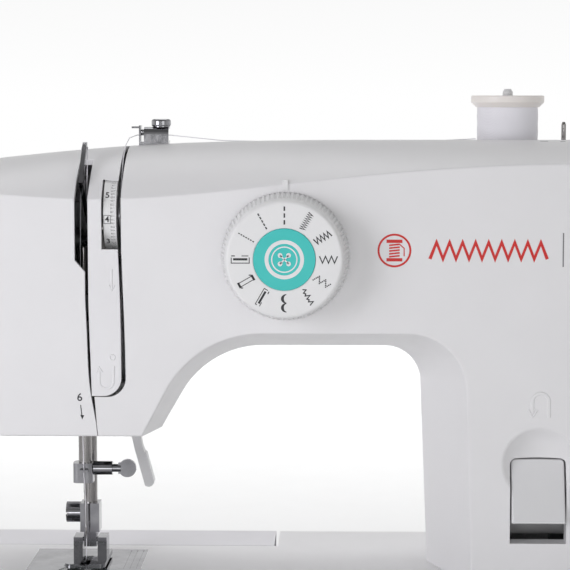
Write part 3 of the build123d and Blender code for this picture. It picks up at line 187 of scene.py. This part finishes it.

# Sewing thread: plies laid at a slant, seen as slanting bands of relief with a sheen; the colour is darker
# where the relief is low, painted shade in the grooves between the plies.
thread_mat, tree, shader = new_material("sewing_thread")
where = add(tree, "ShaderNodeTexCoord")
wave = add(tree, "ShaderNodeTexWave", wave_type="BANDS", bands_direction="DIAGONAL", Scale=900,
           Distortion=1.6, Detail=2)
tree.links.new(where.outputs["Object"], wave.inputs["Vector"])
# darker colour in the low bands: painted shade in the grooves between plies
tree.links.new(two_colours(tree, wave.outputs["Fac"], (0.80, 0.79, 0.835), (0.90, 0.89, 0.93)),
               shader.inputs["Base Color"])
tree.links.new(spread(tree, noise(tree, 500, 4), 0.55, 0.8), shader.inputs["Roughness"])
bump(tree, wave.outputs["Fac"], 0.4, 0.0001, shader)
shader.inputs["Sheen Weight"].default_value = 0.3

PAINT = {
    shell: ["front_cover", "face_plate", "rear_cover", "base_housing", "handwheel"],
    tongue_mat: ["thread_path_cover"],
    tray_mat: ["accessory_tray", "tray_door", "bottom_plate"],
    dial_mat: ["stitch_dial", "tension_dial", "clutch_knob", "dial_pointer"],
    teal_mat: ["dial_centre_disc"],
    grey_mat: ["thread_cutter", "bobbin_winder_stop", "bobbin_winder_carriage"],
    dark_mat: ["power_panel", "power_switch", "bobbin_case"],
    cream_mat: ["thread_spool"],
    white_mat: ["spool_pin", "reverse_lever", "presser_foot_lifter"],
    clear_mat: ["bobbin_cover", "bobbin", "lamp"],
    rubber_mat: ["rubber_feet", "timing_belt", "motor_belt"],
    chrome_dark_reflection_mat: ["take_up_lever", "needle_plate", "presser_foot", "presser_foot_ankle", "ankle_screw",
                 "thread_guide_bracket", "pretension_disc", "guide_screw", "tension_discs", "needle_clamp",
                 "needle_clamp_screw"],
    steel_mat: ["needle_bar", "needle", "needle_bar_connector", "presser_bar", "presser_bar_collar",
                "presser_spring", "main_shaft", "lower_shaft", "motor_pulley", "rotary_hook",
                "feed_dogs", "rear_screws", "bobbin_winder_spindle"],
    cast_mat: ["arm_frame"],
    motor_mat: ["motor"],
    thread_mat: ["upper_thread", "spool_thread", "bobbin_thread"],
    felt_mat: ["spool_felt"],
}
for material, names in PAINT.items():
    for name in names:
        for s in nodes[name].material_slots:
            s.material = material


# ---- printed and moulded marks -------------------------------------------------------------------
def finish_mesh(name, bm, material, body, smooth=False):
    me = bpy.data.meshes.new(name)
    bmesh.ops.recalc_face_normals(bm, faces=bm.faces)
    bm.to_mesh(me)
    bm.free()
    for p in me.polygons:
        p.use_smooth = smooth
    ob = bpy.data.objects.new(name, me)
    bpy.context.scene.collection.objects.link(ob)
    me.materials.append(material)
    if body:
        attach(ob, body)
    return ob


def bend(u, v, r, a0, a1, steps=16):
    """Points of an arc about (u, v), from a0 to a1 degrees."""
    angles = [math.radians(a0 + (a1 - a0) * i / steps) for i in range(steps + 1)]
    return [(u + r * math.cos(a), v + r * math.sin(a)) for a in angles]


class Print:
    """Flat shapes gathered on one surface and made into one thin raised piece, without a back.

    place turns a point of the drawing (millimetres) and a height above the surface into a place.
    """

    SUNK = 0.03                  # how far the sides go below the surface
    MITRE_LIMIT = 2.2            # longest mitre at a corner, over the line's half width

    def __init__(self, place, height=0.06):
        self.place = place
        self.height = height
        self.bm = bmesh.new()

    def fill(self, pts):
        low = [self.bm.verts.new(self.place(u, v, -self.SUNK)) for u, v in pts]
        high = [self.bm.verts.new(self.place(u, v, self.height)) for u, v in pts]
        self.bm.faces.new(high)
        n = len(pts)
        for i in range(n):
            j = (i + 1) % n
            self.bm.faces.new((low[i], low[j], high[j], high[i]))

    def line(self, pts, width, closed=False):
        """Ribbon along the points, mitred at its corners."""
        pts = [Vector(p) for p in pts]
        n = len(pts)
        left, right = [], []
        for i, p in enumerate(pts):
            a = pts[i - 1] if i or closed else None
            b = pts[(i + 1) % n] if i < n - 1 or closed else None
            da = (p - a).normalized() if a is not None else None
            db = (b - p).normalized() if b is not None else None
            da, db = da or db, db or da
            m = Vector((-(da.y + db.y), da.x + db.x))
            m = m.normalized() if m.length > 1e-6 else Vector((-da.y, da.x))
            k = min(self.MITRE_LIMIT, 1 / max(0.3, m.dot(Vector((-da.y, da.x)))))
            left.append(p + m * k * width / 2)
            right.append(p - m * k * width / 2)
        last = n if closed else n - 1
        for i in range(last):
            j = (i + 1) % n
            self.fill([left[i], left[j], right[j], right[i]])

    def ridge(self, pts, width, top=0.55):
        """Moulded rib along the points: sloping flanks and a narrower flat top."""
        pts = [Vector(p) for p in pts]
        rows = []
        for i, p in enumerate(pts):
            along = (pts[min(i + 1, len(pts) - 1)] - pts[max(i - 1, 0)]).normalized()
            side = Vector((-along.y, along.x)) * width / 2
            corners = [(p + side, -self.SUNK), (p + side * top, self.height),
                       (p - side * top, self.height), (p - side, -self.SUNK)]
            rows.append([self.bm.verts.new(self.place(q.x, q.y, h)) for q, h in corners])
        for a, b in zip(rows, rows[1:]):
            for k in range(3):
                self.bm.faces.new((a[k], a[k + 1], b[k + 1], b[k]))
        self.bm.faces.new(rows[0])
        self.bm.faces.new(rows[-1])

    def arc(self, u, v, r, a0, a1, width, steps=24):
        pts = bend(u, v, r, a0, a1, steps)
        if abs(a1 - a0) >= 360:
            self.line(pts[:-1], width, closed=True)
        else:
            self.line(pts, width)

    def dot(self, u, v, r, steps=20):
        self.fill(bend(u, v, r, 0, 360, steps)[:-1])

    def make(self, name, material, body, slot):
        return finish_mesh(name, self.bm, material, body)


FRONT_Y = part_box("front_cover")[0][1] / MM


def on_front(u, v, h):
    return Vector((u * MM, (FRONT_Y - h) * MM, v * MM))


TEXT_HEIGHT, TEXT_BOLDER = 0.00006, 0.00004      # metres above the paper, and added round each stroke
FONT_SIZE = 1.38                                 # size of the font for a figure 1 high


def writing(name, text, size, u, v, place_matrix, body):
    """A number in black, as thin raised print, size high and centred on (u, v)."""
    curve = bpy.data.curves.new(name, "FONT")
    curve.body = text
    curve.size = size * MM * FONT_SIZE
    curve.align_x = "CENTER"
    curve.align_y = "CENTER"
    curve.extrude = TEXT_HEIGHT
    curve.offset = TEXT_BOLDER
    tmp = bpy.data.objects.new(name + "_tmp", curve)
    bpy.context.scene.collection.objects.link(tmp)
    bpy.context.view_layer.update()
    me = bpy.data.meshes.new_from_object(tmp)
    bpy.data.objects.remove(tmp)
    bpy.data.curves.remove(curve)
    me.name = name
    me.transform(place_matrix @ Matrix.Translation((u * MM, v * MM, 0)))
    ob = bpy.data.objects.new(name, me)
    bpy.context.scene.collection.objects.link(ob)
    me.materials.clear()
    me.materials.append(ink_mat)
    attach(ob, body)


# Stitch dial: twelve stitch signs round the face, between the radii IN and OUT.
disc_lo, disc_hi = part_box("dial_centre_disc")
DX, DZ = (disc_lo[0] + disc_hi[0]) / 2 / MM, (disc_lo[2] + disc_hi[2]) / 2 / MM
DIAL_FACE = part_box("stitch_dial")[0][1] / MM
IN, OUT = 15.6, 23.6


def dial_print(angle):
    """Drawing on the dial: u runs outward from its middle, at angle clockwise from the top."""
    a = math.radians(angle)
    radial, across = (math.sin(a), math.cos(a)), (math.cos(a), -math.sin(a))

    def place(u, v, h):
        return Vector(((DX + u * radial[0] + v * across[0]) * MM, (DIAL_FACE - h) * MM,
                       (DZ + u * radial[1] + v * across[1]) * MM))
    return Print(place)


def dashes(angle, count, length, width):
    """Straight stitch."""
    p = dial_print(angle)
    gap = (OUT - IN - count * length) / (count - 1)
    for i in range(count):
        a = IN + i * (length + gap)
        p.line([(a, 0), (a + length, 0)], width)
    return p


def zigzag(angle, strokes, half, width):
    p = dial_print(angle)
    length = (OUT - IN) / strokes
    p.line([(IN + length * i, half if i % 2 else -half) for i in range(strokes + 1)], width)
    return p


signs = [dashes(0, 3, 1.95, 0.68), dashes(330, 5, 1.2, 0.6), dashes(300, 7, 0.78, 0.5),
         zigzag(30, 16, 1.2, 0.52), zigzag(60, 9, 1.4, 0.62), zigzag(90, 6, 1.55, 0.54)]
p = dial_print(120)          # zigzag of dots, four to a stroke
for k in range(5):
    for i in range(4):
        t = (k + i / 4) / 5
        p.dot(IN + (OUT - IN) * t, (1.4 - 2.8 * i / 4) * (1 if k % 2 == 0 else -1), 0.33, 10)
signs.append(p)
p = dial_print(150)          # blind hem
p.line([(IN, -0.3), (IN + 0.9, -1.6), (IN + 1.6, 0.1), (IN + 2.4, -0.6), (IN + 3.1, 0.1),
        (IN + 3.9, -2.0), (IN + 4.6, 0.1), (IN + 5.4, -0.6), (IN + 6.1, 0.1), (IN + 7.0, -1.8),
        (IN + 7.8, 0.3)], 0.5)
signs.append(p)
p = dial_print(180)          # two crescents, for a scalloped edge
half_turn = [math.pi * i / 14 for i in range(15)]
for centre in (IN + 1.9, IN + 5.9):
    outer = [(centre + 2.1 * math.cos(t), -0.9 + 2.4 * math.sin(t)) for t in half_turn]
    inner = [(centre + 1.7 * math.cos(t), -0.9 + 1.1 * math.sin(t)) for t in half_turn]
    for i in range(14):
        p.fill([outer[i], outer[i + 1], inner[i + 1], inner[i]])
signs.append(p)
p = dial_print(210)          # buttonhole, one long side stitched
p.line([(OUT, 0.4), (OUT, 1.3), (IN, 1.3), (IN, -0.6)], 0.36)
p.line([(IN + 0.9, 0.1), (OUT - 0.9, 0.1)], 0.95)
p.line([(IN + 0.2, -1.3), (IN + 1.4, -1.3)], 0.45)
p.line([(OUT, -0.8), (OUT - 2.0, -0.8)], 0.36)
signs.append(p)
p = dial_print(240)          # buttonhole, both ends stitched
p.line([(IN + 0.6, -0.9), (OUT - 0.6, -0.9)], 0.34)
p.line([(IN + 0.6, 0.9), (OUT - 0.6, 0.9)], 0.34)
p.line([(IN + 0.5, -1.3), (IN + 0.5, 1.3)], 1.0)
p.line([(OUT - 0.5, -1.3), (OUT - 0.5, 1.3)], 1.0)
p.line([(IN + 0.5, 1.3), (IN + 1.6, 1.9)], 0.45)
p.line([(OUT - 1.4, -1.8), (OUT - 0.5, -1.4)], 0.45)
signs.append(p)
p = dial_print(270)          # buttonhole, the other long side
p.line([(OUT, 0.9), (OUT, -1.6), (IN, -1.6), (IN, 0.9)], 0.38)
p.line([(IN + 0.8, 0.1), (OUT - 0.8, 0.1)], 1.0)
p.line([(IN + 0.4, 1.6), (IN + 3.4, 1.6)], 0.38)
p.line([(OUT - 1.6, 1.6), (OUT, 1.6)], 0.45)
signs.append(p)
for i, p in enumerate(signs):
    p.make(f"stitch_sign_{i}", ink_mat, "stitch_dial", "dark_plastic")

# Button sign on the teal disc, and a light ring round the disc.
DISC_FACE = disc_lo[1] / MM
icon = Print(lambda u, v, h: Vector(((DX + u) * MM, (DISC_FACE - h) * MM, (DZ + v) * MM)), 0.08)
icon.arc(0, 0, 7.9, 0, 360, 1.7, 72)
icon.arc(0, 0, 5.6, 0, 360, 0.55, 60)
for su in (-1, 1):
    for sv in (-1, 1):
        icon.dot(su * 1.9, sv * 1.9, 1.05, 24)
icon.line([(-1.9, -1.9), (1.9, 1.9)], 0.6)
icon.line([(-1.9, 1.9), (1.9, -1.9)], 0.6)
icon.make("button_sign", white_ink_mat, "stitch_dial", "dial_plastic")
rim = Print(lambda u, v, h: Vector(((DX + u) * MM, (DIAL_FACE - h) * MM, (DZ + v) * MM)), 0.03)
rim.arc(0, 0, 14.5, 0, 360, 0.5, 90)
rim.make("disc_surround", white_ink_mat, "stitch_dial", "dial_plastic")

# Generic marks on the arm: a reel of thread, a row of zigzag and a grey bar.
red = Print(on_front, 0.07)
RX, RZ = 26.9, 231.8
red.arc(RX, RZ, 7.2, 0, 360, 0.9, 72)
for dz in (-4.2, 4.2):
    red.line([(RX - 3.6, RZ + dz), (RX + 3.6, RZ + dz)], 1.5)
for i in range(5):
    z = RZ - 2.6 + 1.3 * i
    red.line([(RX - 2.4, z - 0.25), (RX + 2.4, z + 0.25)], 0.75)
red.line([(RX + 2.4, RZ + 2.8), (RX + 4.4, RZ + 1.0), (RX + 4.4, RZ - 2.6)], 0.5)
START, END, TOP, BOTTOM, STROKES = 43.0, 96.0, 235.6, 228.0, 18
STROKE = (END - START) / STROKES
red.line([(START + STROKE * i, TOP if i % 2 else BOTTOM) for i in range(STROKES + 1)], 1.5)
red.make("red_marks", red_ink_mat, "casing", "shell")
bar = Print(on_front, 0.07)
bar.line([(103.2, 224.5), (103.2, 239.9)], 0.55)
bar.make("grey_bar", grey_ink_mat, "casing", "shell")

# Number and arrow on the face plate, for threading.
black = Print(on_front, 0.06)
black.line([(-116.4, 160.6), (-115.8, 155.0)], 0.42)
black.fill([(-116.6, 156.0), (-115.7, 153.8), (-114.8, 155.8)])
black.make("threading_arrow", ink_mat, "casing", "dark_plastic")
UPRIGHT = Matrix.Rotation(math.radians(90), 4, "X")      # stands a drawing up to face the front
face_front = Matrix.Translation((0, (FRONT_Y - 0.05) * MM, 0)) @ UPRIGHT
writing("threading_number", "6", 3.7, -116.8, 164.0, face_front, "casing")

# Raised threading marks moulded on the tongue and above the reverse lever: generic arrows.
raised = Print(on_front, 0.3)
raised.ridge([(-107.8, 177.0), (-107.8, 171.4)] + bend(-104.5, 171.4, 3.3, 180, 360)
             + [(-101.2, 171.4), (-101.2, 178.6)], 1.3)
raised.ridge([(-109.2, 175.6), (-107.8, 178.2), (-106.4, 175.6)], 1.1)
raised.ridge([(-101.7, 213.8), (-101.7, 223.0)], 1.0)
raised.ridge([(-103.0, 215.8), (-101.7, 213.2), (-100.4, 215.8)], 0.9)
raised.ridge(bend(-101.7, 182.6, 1.2, 0, 350), 0.6)
raised.make("tongue_marks", tongue_mat, "casing", "shell")
raised = Print(on_front, 0.4)
raised.ridge([(90.1, 157.2), (90.1, 162.9)] + bend(93.85, 162.9, 3.75, 180, 0)
             + [(97.6, 162.9), (97.6, 155.6)], 1.75)
raised.ridge([(88.0, 159.2), (90.1, 155.9), (92.2, 159.2)], 1.5)
raised.make("reverse_mark", shell, "casing", "shell")

# Tension numbers, printed round the wheel at equal steps, with the usual setting in a box.
t_lo, t_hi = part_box("tension_dial")
TY, TZ = (t_lo[1] + t_hi[1]) / 2, (t_lo[2] + t_hi[2]) / 2
TR = (t_hi[2] - t_lo[2]) / 2
NUMBER_X = t_lo[0] / MM + 1.75
USUAL, STEP, LOW = 4, -36, 5.4      # the boxed number; degrees to the next, and of this one below the front
ON_WHEEL = 0.00002                  # metres off the wheel's surface
for value in range(10):
    angle = math.radians(STEP * (value - USUAL) + LOW)
    turn = Matrix.Translation((0, TY, TZ)) @ Matrix.Rotation(angle, 4, "X")
    spot = turn @ Matrix.Translation((0, -TR - ON_WHEEL, 0)) @ UPRIGHT
    writing(f"tension_number_{value}", str(value), 2.9, NUMBER_X, 0, spot, "tension_dial")
    if value == USUAL:
        box = Print(lambda u, v, h: spot @ Vector(((NUMBER_X + u) * MM, v * MM, h * MM)), 0.05)
        box.line([(-1.45, -1.9), (1.45, -1.9), (1.45, 1.9), (-1.45, 1.9)], 0.26, closed=True)
        box.make("tension_box", grey_ink_mat, "tension_dial", "dark_plastic")

# Printed signs for bobbin winding on the top, laid on its curve.
TOP_NODES = [nodes["rear_cover"], nodes["front_cover"]]
ABOVE, SEAM_Z = 0.4, 0.278          # metres: over every part, and where a ray slips through the seam


def on_top(u, v, h):
    """Looks straight down on the covers, and takes the higher one."""
    start, down = Vector((u * MM, v * MM, ABOVE)), Vector((0, 0, -1))
    seen = [ob.ray_cast(start, down) for ob in TOP_NODES]
    top = max((where.z for hit, where, *_ in seen if hit), default=SEAM_Z)
    return Vector((u * MM, v * MM, top + h * MM))


winding = Print(on_top, 0.06)
for x0, x1, y in ((96.0, 99.8, 4.4), (105.4, 107.8, 3.0), (118.5, 122.0, 22.0)):
    winding.line([(x0, y), ((x0 + x1) / 2, y), (x1, y)], 0.9)
winding.arc(122.0, 34.0, 3.0, 20, 340, 0.5, 20)
winding.make("winder_signs", grey_ink_mat, "casing", "shell")


# ---- thread wound on the spool -------------------------------------------------------------------
def wound(name, node, bore, pitch, groove, body):
    """Ribbed tube in place of a CAD node, with a groove between each turn of thread and the next.

    bore is the radius of its inside, pitch the height of a turn and groove its depth.
    """
    lo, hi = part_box(node)
    cx, cy = (lo[0] + hi[0]) / 2, (lo[1] + hi[1]) / 2
    r = (hi[0] - lo[0]) / 2
    uneven, waves = 0.00012, 900         # depth of the slow swells along it, and their radians per metre
    around, per_turn = 72, 4
    rows = int((hi[2] - lo[2]) / pitch) * per_turn
    bm = bmesh.new()

    def ring(radius, z, slant=0.0):
        angles = [2 * math.pi * k / around for k in range(around)]
        return [bm.verts.new((cx + radius * math.cos(a), cy + radius * math.sin(a),
                              z + slant * k / around)) for k, a in enumerate(angles)]

    rings = []
    for i in range(rows + 1):
        z = lo[2] + (hi[2] - lo[2]) * i / rows
        dip = groove * (0.5 - 0.5 * math.cos(2 * math.pi * i / per_turn))
        dip += uneven * (1 + math.sin(z * waves)) / 2
        rings.append(ring(r - dip, z, 0.9 * pitch if 0 < i < rows else 0.0))
    rings += [ring(bore, hi[2]), ring(bore, lo[2]), rings[0]]
    for a, b in zip(rings, rings[1:]):
        for k in range(around):
            j = (k + 1) % around
            bm.faces.new((a[k], a[j], b[j], b[k]))
    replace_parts(finish_mesh(name, bm, thread_mat, body, smooth=True), node)


wound("wound_thread", "spool_thread", 0.0081, 0.0004, 0.00007, "spool")

# ---- upper thread, in lengths; the casing's length goes with the casing --------------------------
EYE_Z, NEAR_Z, LAID_Y = 96.0, 109.0, 1.25     # the thread lies against the needle below NEAR_Z
CLAMP_RING, EYE_RING = (-4.0, 122.0), (-1.4, 97.2)      # Y and Z where the thread bends in the CAD
EYE_Y = -0.9                                  # and the Y at which it turns into the eye, at EYE_Z
SLOPE = (EYE_RING[0] - CLAMP_RING[0]) / (CLAMP_RING[1] - EYE_RING[1])
SLOT_X, LEVER_LOW_Z = -113, 226.3             # the thread goes up to the lever left of and above these
TURN_Z, PLATE_X = 170, -117.9                 # the casing's length is above the one and right of the other
BAR_X, EYE_TOP_Z = -117, 97.3                 # to the bar: left of the one, down to the needle's eye
CUT, HALF_WAY, REACH = 0.05, 0.6, 0.5         # how near a bend its points are: at the cut, between, past


def lay_against_needle(bm):
    """Moves the straight run from the clamp to the eye back to the needle, with one more bend."""
    bmesh.ops.bisect_plane(bm, geom=bm.verts[:] + bm.edges[:] + bm.faces[:],
                           plane_co=(0, 0, NEAR_Z * MM), plane_no=(0, 0, 1))
    for v in bm.verts:
        y, z = v.co.y / MM, v.co.z / MM
        if abs(z - NEAR_Z) < CUT:
            v.co.y += (LAID_Y - CLAMP_RING[0] - (CLAMP_RING[1] - NEAR_Z) * SLOPE) * MM
        elif y < 0 and EYE_Z + HALF_WAY < z < EYE_RING[1] + REACH:
            v.co.y += (LAID_Y - EYE_RING[0]) * MM
        elif y < 0 and EYE_Z - REACH < z < EYE_Z + HALF_WAY:
            v.co.y += (LAID_Y - EYE_Y) * MM


def thread_length(name, wanted, blend=None):
    """Copies the stretch of the thread whose faces are wanted and lays its run to the eye against the
    needle; with blend it goes with no body, else with the casing.
    """
    source = nodes["upper_thread"]
    bm = bmesh.new()
    bm.from_mesh(source.data)
    bm.transform(source.matrix_world)
    away = [f for f in bm.faces if not wanted(f.calc_center_median() / MM)]
    bmesh.ops.delete(bm, geom=away, context="FACES")
    bmesh.ops.remove_doubles(bm, verts=bm.verts, dist=1e-6)
    bmesh.ops.holes_fill(bm, edges=bm.edges)
    lay_against_needle(bm)
    ob = finish_mesh(name, bm, thread_mat, None if blend else "casing", smooth=True)
    if blend:
        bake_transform(ob)
    return ob


def at_lever(c):
    return c.x < SLOT_X and c.z > LEVER_LOW_Z


def at_casing(c):
    """From the spool round the turn to the lever's slot, and the first run down from the lever."""
    return c.z > TURN_Z and c.x > PLATE_X and not at_lever(c)


def to_bar(c):
    """From the lever down to the eye: its first run lies in the same place as the casing's."""
    return c.x < BAR_X and EYE_TOP_Z < c.z < LEVER_LOW_Z


slot_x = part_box("take_up_lever")[0][0]
held = thread_length("thread_casing", at_casing)
thread_length("thread_at_lever", at_lever,
              ("casing", "take_up_lever", (slot_x, -0.0235, 0.2262), (slot_x, -0.0139, 0.2770)))
thread_length("thread_to_bar", to_bar,
              ("casing", "needle_bar", (-0.119, -0.008, 0.150), (-0.119, -0.004, 0.127)))
thread_length("thread_at_needle", lambda c: c.z < EYE_TOP_Z,
              ("needle_bar", "casing", (-0.119, 0.0036, 0.0915), (-0.1192, 0.0038, 0.0806)))
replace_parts(held, "upper_thread")

# ---- spring of the presser bar, a fixed coil of wire; the real one shortens as the bar is lifted ---
(sx0, sy0, sz0), (sx1, sy1, sz1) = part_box("presser_spring")
SPRING_X, SPRING_Y = (sx0 + sx1) / 2, (sy0 + sy1) / 2
WIRE_R, COILS, PER_COIL, AROUND = 0.00042, 6, 28, 10
coil_r = (sx1 - sx0) / 2 - WIRE_R
bm = bmesh.new()
rings = []
for i in range(COILS * PER_COIL + 1):
    t = i / PER_COIL * 2 * math.pi
    z = sz0 + WIRE_R + (sz1 - sz0 - 2 * WIRE_R) * i / (COILS * PER_COIL)
    ring = []
    for k in range(AROUND):
        a = 2 * math.pi * k / AROUND
        r = coil_r + WIRE_R * math.cos(a)
        place = (SPRING_X + r * math.cos(t), SPRING_Y + r * math.sin(t), z + WIRE_R * math.sin(a))
        ring.append(bm.verts.new(place))
    rings.append(ring)
for a, b in zip(rings, rings[1:]):
    for k in range(AROUND):
        j = (k + 1) % AROUND
        bm.faces.new((a[k], a[j], b[j], b[k]))
bm.faces.new(rings[0])
bm.faces.new(rings[-1])
coil = finish_mesh("presser_coil", bm, steel_mat, "casing", smooth=True)
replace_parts(coil, "presser_spring")
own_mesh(coil)


# ---- room, light and camera ----------------------------------------------------------------------
def area_light(name, where, target, size, power, colour=(1, 1, 1)):
    light = bpy.data.lights.new(name, "AREA")
    light.shape = "RECTANGLE"
    light.size, light.size_y = size
    light.energy = power
    light.color = colour
    ob = bpy.data.objects.new(name, light)
    ob.location = where
    ob.rotation_euler = (Vector(target) - Vector(where)).to_track_quat("-Z", "Y").to_euler()
    bpy.context.scene.collection.objects.link(ob)
    return ob


# Floor, and a world that is brightest level with the machine.
bm = bmesh.new()
bmesh.ops.create_grid(bm, x_segments=24, y_segments=24, size=6.0)
me = bpy.data.meshes.new("floor")
bm.to_mesh(me)
bm.free()
floor = bpy.data.objects.new("floor", me)
bpy.context.scene.collection.objects.link(floor)
me.materials.append(surface("floor_paper", (0.93, 0.93, 0.93), (0.92, 0.92, 0.92), (0.85, 0.95),
                            grain=400, relief=0.05))

world = bpy.data.worlds.new("studio")
bpy.context.scene.world = world
world.use_nodes = True
tree = world.node_tree
tree.nodes.clear()
out = add(tree, "ShaderNodeOutputWorld")
back = add(tree, "ShaderNodeBackground", Color=(1.0, 1.0, 1.0, 1))
where = add(tree, "ShaderNodeTexCoord")
parts = add(tree, "ShaderNodeSeparateXYZ")
tree.links.new(where.outputs["Generated"], parts.inputs["Vector"])
lift = map_range(tree, parts.outputs["Z"], 0.0, 0.75, 1.0, 0.33)          # darker overhead
depth = map_range(tree, parts.outputs["Y"], -0.7, 0.5, 0.54, 1.0)         # and in front of the machine
depth.interpolation_type = "SMOOTHSTEP"
both = add(tree, "ShaderNodeMath", operation="MULTIPLY")
tree.links.new(lift.outputs["Result"], both.inputs[0])
tree.links.new(depth.outputs["Result"], both.inputs[1])
tree.links.new(both.outputs["Value"], back.inputs["Strength"])
tree.links.new(back.outputs["Background"], out.inputs["Surface"])

area_light("key", (-0.75, -0.75, 0.38), (-0.14, 0, 0.2), (0.5, 0.5), 3.8, (0.965, 0.96, 1.0))
area_light("fill", (0.9, -1.8, 0.5), (0.05, 0, 0.2), (1.0, 1.0), 3.6)
area_light("low", (-0.15, -1.3, 0.07), (-0.04, 0.03, 0.13), (0.7, 0.3), 2.1, (0.985, 0.98, 1.0))
# Lights the floor behind the machine.
backdrop = area_light("backdrop", (0, 1.5, 1.6), (0, 1.5, 0), (3.0, 2.2), 21)
backdrop.data.spread = math.radians(95)

CAMERA_AT, LOOK_AT = Vector((0, -0.934, 0.301)), Vector((-0.0227, -0.034, 0.216))
scene = bpy.context.scene
scene.view_settings.view_transform = "Standard"
camera = bpy.data.cameras.new("camera")
camera.lens = 125.65
camera.sensor_width = 36
camera.clip_end = 30
cam = bpy.data.objects.new("camera", camera)
cam.location = CAMERA_AT
cam.rotation_euler = (LOOK_AT - CAMERA_AT).to_track_quat("-Z", "Y").to_euler()
scene.collection.objects.link(cam)
scene.camera = cam
